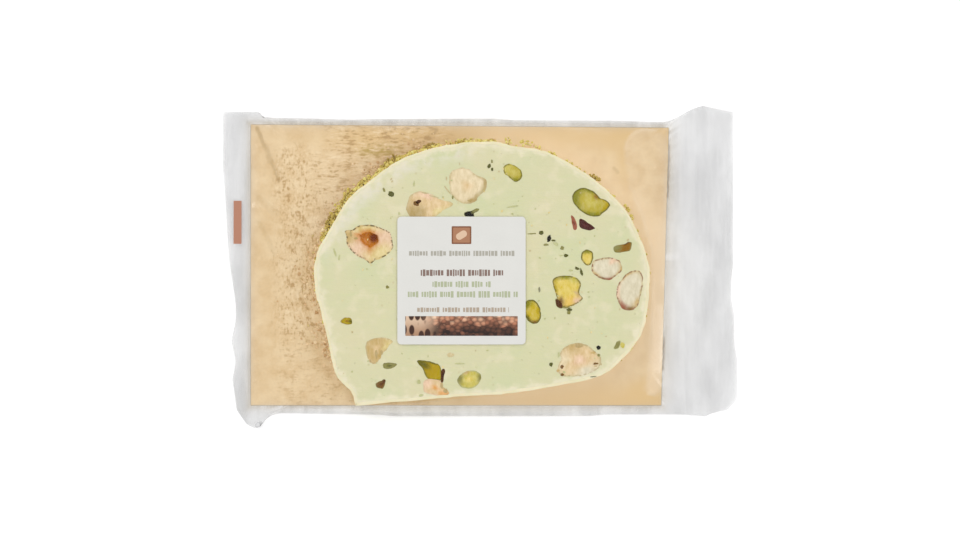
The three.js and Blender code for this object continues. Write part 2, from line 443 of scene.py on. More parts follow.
def stroke_group():
    """A soft straight line seen from above: a mask of 1 along its middle. Lengths in metres."""
    nodes, given, result = group(
        "stroke",
        {"From X": 0.0, "From Y": 0.0, "To X": 0.01, "To Y": 0.0, "Half Width": 0.001},
        {"Mask": "NodeSocketFloat"},
    )
    place = nodes.place()
    spot = nodes.add("ShaderNodeSeparateXYZ", {"Vector": place}).outputs
    wander = nodes.sum("MULTIPLY", nodes.sum("SUBTRACT", nodes.noise(place, 4, 2), 0.5), 1.6 * MM)
    run_x = nodes.sum("SUBTRACT", given["To X"], given["From X"])
    run_y = nodes.sum("SUBTRACT", given["To Y"], given["From Y"])
    off_x = nodes.sum("ADD", nodes.sum("SUBTRACT", spot["X"], given["From X"]), wander)
    off_y = nodes.sum("SUBTRACT", spot["Y"], given["From Y"])
    dot = nodes.sum("ADD", nodes.sum("MULTIPLY", off_x, run_x), nodes.sum("MULTIPLY", off_y, run_y))
    long = nodes.sum("ADD", nodes.sum("MULTIPLY", run_x, run_x), nodes.sum("MULTIPLY", run_y, run_y))
    share = nodes.sum("DIVIDE", dot, long, clamp=True)
    gap_x = nodes.sum("SUBTRACT", off_x, nodes.sum("MULTIPLY", share, run_x))
    gap_y = nodes.sum("SUBTRACT", off_y, nodes.sum("MULTIPLY", share, run_y))
    gap = nodes.sum("SQRT", nodes.sum("ADD", nodes.sum("MULTIPLY", gap_x, gap_x),
                                      nodes.sum("MULTIPLY", gap_y, gap_y)))
    nodes.feed(result["Mask"], nodes.step(nodes.sum("DIVIDE", gap, given["Half Width"]), 1.3, 0.2))
    return nodes.tree


MOTTLE = mottle_group()
SPECKLE = speckle_group()
KNIFE = knife_group()
STROKE = stroke_group()


def material(name, **constants):
    """A new material; constants go straight onto its Principled shader's sockets."""
    made = bpy.data.materials.new(name)
    made.use_nodes = True
    nodes = Nodes(made.node_tree)
    shader = made.node_tree.nodes["Principled BSDF"]
    for key, value in constants.items():
        shader.inputs[key.replace("_", " ")].default_value = value
    return made, nodes, shader


def placed(nodes, tree, **numbers):
    """A shared group in this material, with its own values."""
    return nodes.add(
        "ShaderNodeGroup", {key.replace("_", " "): v for key, v in numbers.items()}, node_tree=tree
    ).outputs


# ---- finishes ---------------------------------------------------------------------------------------

def floor_finish():
    """Plain white paper, with a faint glow of its own."""
    made, nodes, shader = material("floor_paper", Roughness=0.9, Specular_IOR_Level=0.1)
    tone = placed(nodes, MOTTLE, Patch=3.0, Grain=700.0, Spread=0.2, Grit=0.02,
                  One=(0.96, 0.96, 0.96, 1), Other=(0.945, 0.945, 0.945, 1))
    nodes.feed(shader.inputs["Base Color"], tone["Color"])
    shader.inputs["Emission Color"].default_value = (1, 1, 1, 1)
    shader.inputs["Emission Strength"].default_value = FLOOR_GLOW
    return made


CARD_MARKS = ("brassy", "grainy", "lying", "stain_and_shade", "oiled", "painted_highlight")


def gilt_finish():
    """Gilt paper: satin gold. The card's points say where it is brassier, where it is crackled and
    which way the crackle runs, where the slice has stained it and painted shade darkens it, where it is
    oiled, and where a painted highlight lightens it.
    """
    made, nodes, shader = material("gilt_paper", Metallic=0.3)
    place = nodes.place()
    brassy, grainy, lying, stain_and_shade, oiled, painted_highlight = (nodes.own(name) for name in CARD_MARKS)
    base = placed(nodes, MOTTLE, Patch=150.0, Grain=900.0, Spread=0.8, Grit=0.12,
                  One=ink(233, 207, 165), Other=ink(222, 192, 146))
    flat = nodes.mix(brassy, base["Color"], ink(225, 192, 137))
    upright = nodes.noise(nodes.stretched(place, (1.3, 0.75, 1), 4), 1.4, 2, 0.75)
    across = nodes.sum("MULTIPLY_ADD", nodes.noise(nodes.stretched(place, (0.4, 1.3, 1), 2), 1.4, 2, 0.7),
                       0.76, 0.12)
    crackle = nodes.sum("ADD", nodes.sum("MULTIPLY", across, lying),
                        nodes.sum("MULTIPLY", upright, nodes.rest(lying)))
    relief = nodes.sum("MULTIPLY_ADD", nodes.sum("SUBTRACT", nodes.noise(place, 4.5, 2), 0.5), 0.4, crackle)
    bright = nodes.mix(nodes.step(relief, 0.53, 0.68, 0.0, 0.6), flat, ink(246, 224, 188))
    dimmed = nodes.mix(nodes.step(relief, 0.5, 0.34, 0.0, 0.85), bright, ink(184, 146, 92))
    crackled = nodes.mix(grainy, flat, dimmed)
    blotch = nodes.step(nodes.noise(nodes.stretched(place, (0.6, 1, 1)), 1.7, 3, 0.6), 0.42, 0.6)
    # Brown beside the slice: a real stain of crumbs and oil, together with painted shadow of the slice on the
    # card.
    stain = nodes.mix(blotch, ink(234, 200, 158), ink(204, 162, 114))
    browned = nodes.mix(nodes.sum("MULTIPLY", stain_and_shade, 0.4), crackled, stain)
    oily = nodes.sum("MULTIPLY", oiled, nodes.step(relief, 0.62, 0.4))
    olive = nodes.mix(oily, browned, ink(190, 162, 88))
    # Painted highlight: a paler gold wherever the painted highlight mark is high.
    nodes.feed(shader.inputs["Base Color"], nodes.mix(painted_highlight, olive, ink(250, 224, 188)))
    nodes.feed(shader.inputs["Roughness"], nodes.sum("MULTIPLY_ADD", base["Height"], 0.16, 0.34))
    rough = nodes.bump(nodes.sum("MULTIPLY", relief, grainy), 0.12)
    nodes.feed(shader.inputs["Normal"], nodes.bump(base["Height"], 0.02, rough))
    return made


def board_finish():
    """The card's grey back and edges."""
    made, nodes, shader = material("grey_board", Roughness=0.85, Specular_IOR_Level=0.2)
    tone = placed(nodes, MOTTLE, Patch=160.0, Grain=2200.0, Spread=0.4, Grit=0.25,
                  One=ink(172, 162, 142), Other=ink(160, 149, 126))
    fibre = placed(nodes, SPECKLE, Scale=900.0, Cover=0.12, Size=0.3)
    nodes.feed(shader.inputs["Base Color"],
               nodes.mix(nodes.sum("MULTIPLY", fibre["Mask"], 0.4), tone["Color"], ink(150, 142, 128)))
    nodes.feed(shader.inputs["Normal"], nodes.bump(tone["Height"], 0.05))
    return made


def nougat_finish():
    """Soft pale green nougat: cloudy, with pores, flecks and knife streaks. Its points say where it is
    smeared with coating beside the rind, and where it carries whiter patches of painted highlight.
    """
    made, nodes, shader = material("pistachio_nougat", Subsurface_Weight=0.12, Subsurface_Scale=0.002,
                                   Specular_IOR_Level=0.35)
    shader.inputs["Subsurface Radius"].default_value = (1.0, 0.9, 0.5)
    place = nodes.place()
    tone = placed(nodes, MOTTLE, Patch=55.0, Grain=1600.0, Spread=0.45, Grit=0.05,
                  One=ink(219, 211, 173), Other=ink(207, 210, 167))
    pores = placed(nodes, SPECKLE, Scale=560.0, Cover=0.1, Size=0.22)
    flecks = placed(nodes, SPECKLE, Scale=210.0, Cover=0.3, Size=0.13)
    streaks = placed(nodes, KNIFE, Scale=90.0)["Height"]
    shaded = nodes.mix(nodes.sum("MULTIPLY", pores["Mask"], 0.35), tone["Color"], ink(196, 194, 142))
    streaked = nodes.mix(nodes.step(streaks, 0.56, 0.72, 0.0, 0.3), shaded, ink(206, 212, 160))
    creamy = nodes.mix(nodes.step(nodes.noise(place, 7, 3), 0.52, 0.7, 0.0, 0.45), streaked,
                       ink(230, 221, 190))
    flecked = nodes.mix(nodes.sum("MULTIPLY", flecks["Mask"], 0.4), creamy,
                        nodes.mix(flecks["Tone"], ink(170, 170, 112), ink(214, 188, 150)))
    smear = nodes.step(nodes.sum("ADD", nodes.noise(place, 4, 3), nodes.own("rind")), 0.72, 1.1, 0.0, 0.9)
    smeared = nodes.mix(smear, flecked, ink(232, 224, 194))
    # Painted highlight: whiter patches just inside the rim on the upper left.
    painted_sheen = nodes.sum("MULTIPLY", nodes.own("painted_sheen"), nodes.step(nodes.noise(place, 5, 2), 0.35, 0.6))
    nodes.feed(shader.inputs["Base Color"], nodes.mix(painted_sheen, smeared, ink(229, 222, 209)))
    nodes.feed(shader.inputs["Roughness"], nodes.sum("MULTIPLY_ADD", tone["Height"], 0.2, 0.5))
    cut = nodes.bump(streaks, 0.12)
    pitted = nodes.bump(nodes.rest(pores["Mask"]), 0.1, cut)
    nodes.feed(shader.inputs["Normal"], nodes.bump(tone["Height"], 0.05, pitted))
    return made


def coating_finish():
    """Satin white chocolate."""
    made, nodes, shader = material("white_coating", Subsurface_Weight=0.08, Subsurface_Scale=0.002,
                                   Specular_IOR_Level=0.45)
    tone = placed(nodes, MOTTLE, Patch=160.0, Grain=1400.0, Spread=0.5, Grit=0.06,
                  One=ink(237, 228, 194), Other=ink(226, 218, 178))
    nodes.feed(shader.inputs["Base Color"], tone["Color"])
    nodes.feed(shader.inputs["Roughness"], nodes.sum("MULTIPLY_ADD", tone["Height"], 0.2, 0.34))
    nodes.feed(shader.inputs["Normal"], nodes.bump(tone["Height"], 0.12))
    return made


def kernel_finish(name, skin, skin_breaks):
    """A cut kernel: its painted colours with veins, pores and, along the rim, a broken skin."""
    made, nodes, shader = material(name, Specular_IOR_Level=0.25)
    place = nodes.place()
    veins = nodes.noise(nodes.stretched(place, (1, 0.5, 1), 30), 1.6, 3, 0.6)
    toned = nodes.add("ShaderNodeHueSaturation", {
        "Color": nodes.add("ShaderNodeAttribute", attribute_name="paint").outputs["Color"],
        "Value": nodes.sum("MULTIPLY_ADD", nodes.sum("SUBTRACT", veins, 0.5), 0.5, 0.92),
        "Saturation": nodes.sum("MULTIPLY_ADD", nodes.sum("SUBTRACT", 0.5, veins), 0.6, 1.1)})
    ragged = nodes.sum("MULTIPLY_ADD", nodes.sum("SUBTRACT", nodes.noise(place, 0.8, 2), 0.5), 0.7,
                       nodes.own("inset"))
    edge = nodes.sum("MULTIPLY", nodes.step(ragged, 0.25, 0.95, 1.0, 0.0), nodes.own("skin"))
    kept = nodes.step(nodes.noise(place, 1.3, 2), skin_breaks - 0.09, skin_breaks + 0.09)
    skinned = nodes.mix(nodes.sum("MULTIPLY", edge, kept), toned.outputs["Color"], skin)
    pores = placed(nodes, SPECKLE, Scale=900.0, Cover=0.3, Size=0.25)
    nodes.feed(shader.inputs["Base Color"],
               nodes.mix(nodes.sum("MULTIPLY", pores["Mask"], 0.14), skinned, ink(120, 96, 58)))
    fine = nodes.noise(place, 0.6, 3, 0.6)
    nodes.feed(shader.inputs["Roughness"], nodes.sum("MULTIPLY_ADD", fine, 0.25, 0.4))
    nodes.feed(shader.inputs["Normal"], nodes.bump(fine, 0.08))
    return made


def crumb_finish(name, stops):
    """Crumbs, each with its own tone from 0 to 1, which picks its colour."""
    made, nodes, shader = material(name, Specular_IOR_Level=0.3, Roughness=0.65)
    fine = nodes.noise(nodes.place(), 0.5, 2)
    shade = nodes.add("ShaderNodeHueSaturation", {
        "Color": nodes.ramp(nodes.own("tone"), stops), "Value": nodes.sum("MULTIPLY_ADD", fine, 0.5, 0.75)})
    nodes.feed(shader.inputs["Base Color"], shade.outputs["Color"])
    nodes.feed(shader.inputs["Normal"], nodes.bump(fine, 0.1))
    return made


FILM_MARKS = ("grey", "painted_gilt_shade", "veil", "sealed", "layered")
FILM_GREY = (0.44, 0.44, 0.445, 1)
FILM_CLEAR = (0.94, 0.94, 0.94, 1)
# Painted reflection of the card's gold and painted shade, on the film beside the card's edge.
FILM_GILT_SHADE = ink(176, 150, 90)
FILM_BUNCHED = (0.72, 0.72, 0.725, 1)
FILM_INDEX = 1.45  # refractive index
# Colour of the painted shade along the film's creases.
CREASE_SHADE_BROWN = ink(128, 98, 40)
RIB_PITCH = 1.3  # of the ribs across the end seals

# Painted shade: dark lines where the film is creased and beside the card's right edge: from, to, half width
# in millimetres and strength.
CREASE_SHADE_LINES = [
    ((-95.8, 59.5), (-92.3, 51.6), 1.1, 0.46),
    ((-92.3, 51.6), (-89.6, 44.8), 1.4, 0.36),
    ((-89.6, 44.8), (-86.2, 37.2), 1.0, 0.4),
    ((-95.0, 29.6), (-87.6, 23.4), 2.0, 0.12),
    ((-94.8, 19.0), (-88.2, 6.0), 1.3, 0.13),
    ((81.4, 52.0), (80.6, 30.0), 0.6, 0.1),
    ((79.0, -30.0), (78.5, -44.0), 0.6, 0.12),
    ((57.2, 42.2), (58.8, 40.6), 1.1, 0.3),
]


def film_finish():
    """Clear packing film. Its points say how thick a veil it is, how grey, how much painted reflection of the
    card's gold and painted shade it carries beside the card, where it is sealed and where it lies in many
    layers.
    """
    made, nodes, shader = material("clear_film", Specular_IOR_Level=0.6)
    place = nodes.place()
    grey, painted_gilt_shade, veil, sealed, layered = (nodes.own(name) for name in FILM_MARKS)
    # Painted reflection of the card's gold and painted shade beside the card.
    warm = nodes.mix(painted_gilt_shade, nodes.mix(grey, FILM_CLEAR, FILM_GREY), FILM_GILT_SHADE)
    crease_shade = 0.0
    for (from_x, from_y), (to_x, to_y), half, strength in CREASE_SHADE_LINES:
        line = placed(nodes, STROKE, From_X=from_x * MM, From_Y=from_y * MM, To_X=to_x * MM,
                      To_Y=to_y * MM, Half_Width=half * MM)["Mask"]
        crease_shade = nodes.sum("MAXIMUM", nodes.sum("MULTIPLY", line, strength), crease_shade)
    # Painted shade along the creases and beside the card's right edge.
    creased = nodes.mix(nodes.step(crease_shade, 0.0, 0.12), warm, CREASE_SHADE_BROWN)
    bunched = nodes.step(layered, 0.15, 0.6, 0.0, 0.98)
    nodes.feed(shader.inputs["Base Color"], nodes.mix(bunched, creased, FILM_BUNCHED))
    smooth = nodes.sum("MULTIPLY", nodes.step(crease_shade, 0.0, 0.12, 0.5, 0.0), nodes.rest(bunched))
    nodes.feed(shader.inputs["Metallic"], nodes.sum("MULTIPLY", nodes.rest(grey), smooth))
    nodes.feed(shader.inputs["Roughness"], nodes.sum("MULTIPLY_ADD", grey, 0.35, 0.12))
    slack = nodes.noise(place, 26, 2, 0.5)
    crinkle = nodes.noise(nodes.stretched(place, (0.5, 1, 1)), 5, 3, 0.6)
    ribs = nodes.sum("MULTIPLY", sealed, nodes.sum(
        "SINE", nodes.sum("MULTIPLY", nodes.add("ShaderNodeSeparateXYZ", {"Vector": place}).outputs["X"],
                          2 * math.pi / (RIB_PITCH * MM))))
    loose = nodes.bump(slack, 1.2)
    fine = nodes.bump(nodes.sum("MULTIPLY", crinkle, nodes.step(grey, 0.0, 0.6, 0.1, 1.0)), 0.4, loose)
    nodes.feed(shader.inputs["Normal"], nodes.bump(ribs, 0.05, fine))
    behind = nodes.add("ShaderNodeNewGeometry").outputs["Backfacing"]
    index = nodes.sum("MULTIPLY_ADD", behind, 1 / FILM_INDEX - FILM_INDEX, FILM_INDEX)
    fresnel = nodes.add("ShaderNodeFresnel", {"IOR": index}).outputs["Fac"]
    cloud = nodes.step(nodes.noise(nodes.stretched(place, (1, 0.4, 1)), 9, 3), 0.3, 0.7, 0.82, 1.18)
    streak = nodes.step(nodes.noise(nodes.stretched(place, (1.6, 0.2, 1), 3), 6, 2), 0.35, 0.65, 0.92, 1.12)
    body = nodes.sum("MULTIPLY", veil, nodes.sum("MULTIPLY", cloud, streak))
    thick = nodes.sum("MULTIPLY_ADD", crease_shade, 0.45, body)
    share = nodes.sum("ADD", thick, nodes.sum("MULTIPLY", fresnel, 0.3), clamp=True)
    share = nodes.sum("MAXIMUM", share, bunched)
    clear = nodes.add("ShaderNodeBsdfTransparent")
    both = nodes.add("ShaderNodeMixShader", {0: share, 1: clear.outputs[0], 2: shader.outputs[0]})
    nodes.feed(made.node_tree.nodes["Material Output"].inputs["Surface"], both.outputs[0])
    return made


def paper_finish(name, colour, roughness=0.55):
    """Coated paper or printed ink, with the paper's faint fibre showing through."""
    made, nodes, shader = material(name, Specular_IOR_Level=0.4)
    darker = tuple(0.95 * c for c in colour[:3]) + (1.0,)
    tone = placed(nodes, MOTTLE, Patch=110.0, Grain=2500.0, Spread=0.3, Grit=0.05,
                  One=colour, Other=darker)
    nodes.feed(shader.inputs["Base Color"], tone["Color"])
    nodes.feed(shader.inputs["Roughness"],
               nodes.sum("MULTIPLY_ADD", tone["Height"], 0.15, roughness - 0.07))
    nodes.feed(shader.inputs["Normal"], nodes.bump(tone["Height"], 0.02))
    return made


# ---- the card ----------------------------------------------------------------------------------------

CARD_PITCH = 2.0  # of the squares that carry the card's marks


def gold_card():
    """The card: board with rounded edges, gilt on its upper side."""
    bpy.ops.object.select_all(action="DESELECT")
    bpy.ops.mesh.primitive_plane_add(size=1)
    card = named("gold_card")
    low_left, low_right, top_left, top_right = 0, 1, 2, 3
    corners = dict(zip((top_left, top_right, low_right, low_left), CARD_CORNERS))
    move_points(card, [(*corners[i], CARD_BOTTOM) for i in range(4)])
    draw_up(card, CARD_TOP - CARD_BOTTOM)
    modify(card, "BEVEL", width=SOFT_EDGE * MM, segments=3)
    cut_in_squares(card, CARD_PITCH)
    finish_with(card, gilt_finish(), board_finish())
    for face in card.data.polygons:
        face.material_index = 0 if face.normal.z > 0.8 else 1
    for name, values in zip(CARD_MARKS, card_marks(points(card))):
        mark_points(card, name, values)
    return card


def card_marks(places):
    """How brassy, crackled, crackled lengthwise, stained and shaded, oiled and lit by painted highlight the
    gilt is at each place, from 0 to 1. The painted highlight lies round the slice, where the gilt would else
    be too dark in the slice's shade, over the strip where the film stands off the card, and in a soft
    patch on the upper left.
    """
    true_x, true_y = places[:, 0], places[:, 1]
    x = true_x + 4 * np.array([grain(*p, 9.0, 1.0) for p in places[:, :2]])
    y = true_y + 4 * np.array([grain(*p, 9.0, 2.0) for p in places[:, :2]])
    off = np.clip(edge_gap(places), 0, None)
    loose = lifted_gap(places)
    top, foot = soft_step(y, 44, 58), soft_step(y, -44, -57)
    brassy = np.maximum(top * soft_step(x, -84, -40), foot * soft_step(x, -30, 20))
    brassy = np.maximum(brassy, 0.8 * np.exp(-((loose / 5) ** 2)) * soft_step(true_y, 30, 44))
    brassy *= soft_step(loose, -0.8, 0.6)
    left = soft_step(x, -92, -82) * (1 - soft_step(x, -26, -6))
    calm = (1 - soft_step(x, -70, -62)) * soft_step(y, 45, 56)
    grainy = left * (1 - calm) * (0.5 + 0.5 * soft_step(y, -45, -20))
    lying = 0.25 + soft_step(x, -80, -60) * soft_step(y, 18, 36) + 0.45 * soft_step(y, -20, -40)
    upper_left = soft_step(true_x, -62, -52) * soft_step(true_y, 28, 40)
    # Browner close to the slice's edge: stain from crumbs and oil, together with painted shadow beside the
    # slice.
    stain_and_shade = np.exp(-off / (2.6 + 3.0 * upper_left)) * (0.75 + 0.4 * upper_left)
    stain_and_shade *= (1 - soft_step(true_x, -26, -6)) * soft_step(true_y, -52, -42)
    oiled = np.exp(-(((true_x + 43) / 9) ** 4) - ((true_y - 50) / 2.2) ** 2)
    # Painted highlight round the slice, over the lifted strip of film and in a patch on the upper left,
    # lightening the gilt in place of light.
    painted_highlight = 0.8 * np.exp(-off / 7) * soft_step(true_x, -20, 10)
    painted_highlight += 0.4 * stands_off(loose) * soft_step(true_y, 34, 10)
    painted_highlight += 0.35 * np.exp(-off / 7) * soft_step(true_y, 12, 20) * (1 - upper_left) * (true_x < 0)
    painted_highlight += 0.12 * np.exp(-(((x + 62) / 8) ** 2) - ((y - 49) / 6) ** 2)
    marks = brassy, grainy, lying, stain_and_shade, oiled, painted_highlight
    return [np.clip(mark, 0, 1) for mark in marks]


# ---- the slice ---------------------------------------------------------------------------------------

OUTLINE_STEPS = 8  # points to each stretch of the outline
NOUGAT_PITCH = 2.4  # of the squares that carry its relief
NOUGAT_OFF_CARD = 0.05
SEAT_RADIUS = 4.6  # of the hole that the hollow hazelnut sits in
SEAT_SPARE = 0.4  # how much deeper it is than the nut's hollow
COAT_RISE = 0.07  # how far the coating stands over the cut face


def slice_edge():
    """The slice's uneven outer line, in millimetres, clockwise seen from above."""
    line = smooth_line(SLICE_OUTLINE, OUTLINE_STEPS)
    wobble = [0.15 * grain(x, y, 5.0, 3.0) + 0.2 * grain(x, y, 1.6, 5.0) for x, y in line]
    return inward(line, wobble)


EDGE = slice_edge()


def edge_gap(places):
    """Distance of each place from the slice's edge as seen from above: below 0 inside the slice."""
    spots = np.asarray(places, float)[:, :2]
    gap = np.full(len(spots), 999.0)
    inside = np.zeros(len(spots), bool)
    for a, b in zip(EDGE, np.roll(EDGE, -1, 0)):
        gap = np.minimum(gap, off_stretch(spots, a, b)[0])
        (ax, ay), (bx, by) = a, b
        if ay != by:
            crossed = (ay > spots[:, 1]) != (by > spots[:, 1])
            inside ^= crossed & (spots[:, 0] < ax + (spots[:, 1] - ay) * (bx - ax) / (by - ay))
    return np.where(inside, -gap, gap)


def slab(name, line, bottom, top):
    """A block with a closed line as its plan, made from a disc that is raised."""
    bpy.ops.object.select_all(action="DESELECT")
    bpy.ops.mesh.primitive_circle_add(vertices=len(line), radius=1, fill_type="NGON")
    block = named(name)
    move_points(block, np.column_stack([line, np.full(len(line), bottom)]))
    draw_up(block, top - bottom)
    return block


def cut_in_squares(block, pitch):
    """Cuts the block straight down in both directions, so that its faces can take a relief."""
    places = points(block)
    low, high = places.min(0), places.max(0)
    with bench(block):
        for axis in (0, 1):
            normal = [0.0, 0.0, 0.0]
            normal[axis] = 1.0
            for at in np.arange(low[axis] + pitch, high[axis], pitch):
                spot = [0.0, 0.0, 0.0]
                spot[axis] = at * MM
                bpy.ops.mesh.select_all(action="SELECT")
                bpy.ops.mesh.bisect(plane_co=spot, plane_no=normal)


def nougat():
    """The cut body of the slice. Its top is gently uneven, as a knife leaves soft nougat."""
    block = slab("nougat", inward(EDGE, COAT * 0.35), CARD_TOP + NOUGAT_OFF_CARD, CUT_FACE)
    bpy.ops.object.select_all(action="DESELECT")
    middle = HOLLOW_HAZELNUT[0]
    bpy.ops.mesh.primitive_cylinder_add(vertices=24, radius=SEAT_RADIUS * MM,
                                        depth=2 * (CAVITY_DEPTH + SEAT_SPARE) * MM,
                                        location=Vector((*middle, CUT_FACE)) * MM)
    seat = named("nut_seat")
    modify(block, "BOOLEAN", operation="DIFFERENCE", object=seat, solver="EXACT")
    bpy.data.objects.remove(seat)
    cut_in_squares(block, NOUGAT_PITCH)
    places = points(block)
    on_top = places[:, 2] > CUT_FACE - 0.01
    for i in np.flatnonzero(on_top):
        x, y, _ = places[i]
        places[i, 2] += 0.06 * grain(x, y, 11.0, 1.0) + 0.03 * grain(x, y, 4.0, 2.0)
    move_points(block, places)
    gap = edge_gap(places)
    mark_points(block, "rind", 0.8 * np.exp(gap / 3.0))
    # Painted highlight: whiter patches just inside the rim on the upper left.
    upper_left = soft_step(places[:, 1] - 0.6 * places[:, 0], 36, 56) * soft_step(places[:, 0], 10, -10)
    mark_points(block, "painted_sheen", 0.65 * upper_left * np.exp(-(((gap + 4.2) / 2.6) ** 2)))
    take(block)
    bpy.ops.object.shade_smooth_by_angle(angle=math.radians(35))
    return finish_with(block, nougat_finish())


def coating():
    """The white coating round the slice: a wall of uneven thickness with a softened rim."""
    bpy.ops.object.select_all(action="DESELECT")
    bpy.ops.mesh.primitive_circle_add(vertices=len(EDGE), radius=1, fill_type="NOTHING")
    wall = named("white_coating")
    move_points(wall, np.column_stack([EDGE, np.full(len(EDGE), CARD_TOP)]))
    thick = [COAT * (1 + 0.35 * grain(x, y, 7.0, 7.0) + 0.25 * grain(x, y, 2.6, 2.0)) for x, y in EDGE]
    inner = inward(EDGE, thick)
    with bench(wall, "EDGE"):
        bpy.ops.mesh.select_all(action="SELECT")
        bpy.ops.mesh.extrude_edges_move(TRANSFORM_OT_translate={"value": (0, 0, 0)})
    places = points(wall)
    places[len(EDGE):, :2] = inner
    move_points(wall, places)
    draw_up(wall, CUT_FACE + COAT_RISE - CARD_TOP)
    modify(wall, "BEVEL", width=SOFT_EDGE * MM, segments=3, limit_method="ANGLE",
           angle_limit=math.radians(50))
    modify(wall, "SUBSURF", levels=1, render_levels=1, subdivision_type="SIMPLE")
    places = points(wall)
    for i, (x, y, z) in enumerate(places):
        out = np.array([x, y]) - SLICE_HEART
        out /= np.linalg.norm(out)
        swell = 0.22 * noise.noise(Vector((x / 4, y / 4, z / 4)))
        places[i, :2] += out * swell
    move_points(wall, places)
    take(wall)
    bpy.ops.object.shade_smooth_by_angle(angle=math.radians(60))
    return finish_with(wall, coating_finish())


# ---- the nuts in the cut face --------------------------------------------------------------------------

NUT_RISE = 0.1  # how far a cut nut stands over the nougat in its middle
NUT_DEPTH = 3.0
NUT_UNDERSIDE = 0.75  # its size as a share of the cut face's
NUT_BELOW = 2.5  # points this far under the cut face belong to the underside
NUT_STEPS = 4  # points to each stretch of a nut's outline
RIM_RISE = 0.02
RING_SHARES = (0.95, 0.88, 0.78, 0.66, 0.54, 0.42, 0.3, 0.18, 0.06)
CAVITY = 0.38  # size of the hollow in the split hazelnut, as a share of the nut
CAVITY_DEPTH = 2.2
CAVITY_RINGS = ((0.86, 0.4), (0.9, 0.3), (0.8, 0.2), (0.75, 0.1), (0.7, 0.0), (0.6, 0.0), (0.45, 0.0))
CAVITY_CORE = (-45.4, 12.4)  # its darkest spot

NUT_COLOURS = {
    "apricot": ink(238, 204, 122), "bark": ink(84, 46, 14), "black": ink(20, 16, 0),
    "brass": ink(180, 152, 28), "brick": ink(160, 100, 80), "butter": ink(230, 208, 122),
    "caramel": ink(206, 140, 80), "coal": ink(8, 6, 0), "cream": ink(236, 219, 184),
    "ember": ink(122, 54, 12), "faint": ink(198, 198, 150), "fern": ink(136, 134, 50),
    "grey": ink(140, 138, 112), "honey": ink(208, 186, 90), "lime": ink(210, 198, 116),
    "mauve": ink(100, 54, 52), "milk": ink(228, 219, 193), "moss": ink(92, 92, 46),
    "mustard": ink(184, 160, 54), "olive": ink(142, 138, 86), "orange": ink(230, 174, 116),
    "peach": ink(232, 206, 164), "pine": ink(104, 98, 26), "pistachio": ink(194, 180, 94),
    "plum": ink(74, 30, 26), "rose": ink(241, 210, 182), "rust": ink(146, 106, 42),
    "sand": ink(216, 200, 158), "shell": ink(190, 168, 122), "straw": ink(232, 214, 160),
    "tan": ink(208, 182, 132), "taupe": ink(204, 190, 150), "umber": ink(122, 90, 54),
}

# Each cut nut: its middle, the colours of its heart, flesh and rim, how dark its skin is, touches of
# other colours along the rim as (direction and width in degrees, depth as a share, colour), and its
# outline.
HOLLOW_HAZELNUT = (
    (-47.3, 12.6), "caramel", "straw", "tan", 1.0,
    [(-140, 38, 0.75, "rose"), (-5, 45, 0.8, "rose"), (180, 22, 0.4, "tan"), (-50, 30, 0.6, "straw")],
    [(-58.1, 15.4), (-54.6, 16.0), (-52.5, 17.3), (-50.0, 17.9), (-47.0, 18.0), (-43.6, 17.1),
     (-40.6, 16.0), (-38.4, 14.5), (-37.5, 11.5), (-37.2, 8.5), (-38.4, 6.4), (-40.6, 4.7),
     (-42.7, 3.4), (-45.1, 2.8), (-46.8, 1.3), (-48.7, 2.8), (-50.9, 3.9), (-53.4, 5.4),
     (-55.7, 7.9), (-57.0, 10.2), (-57.0, 12.8)],
)
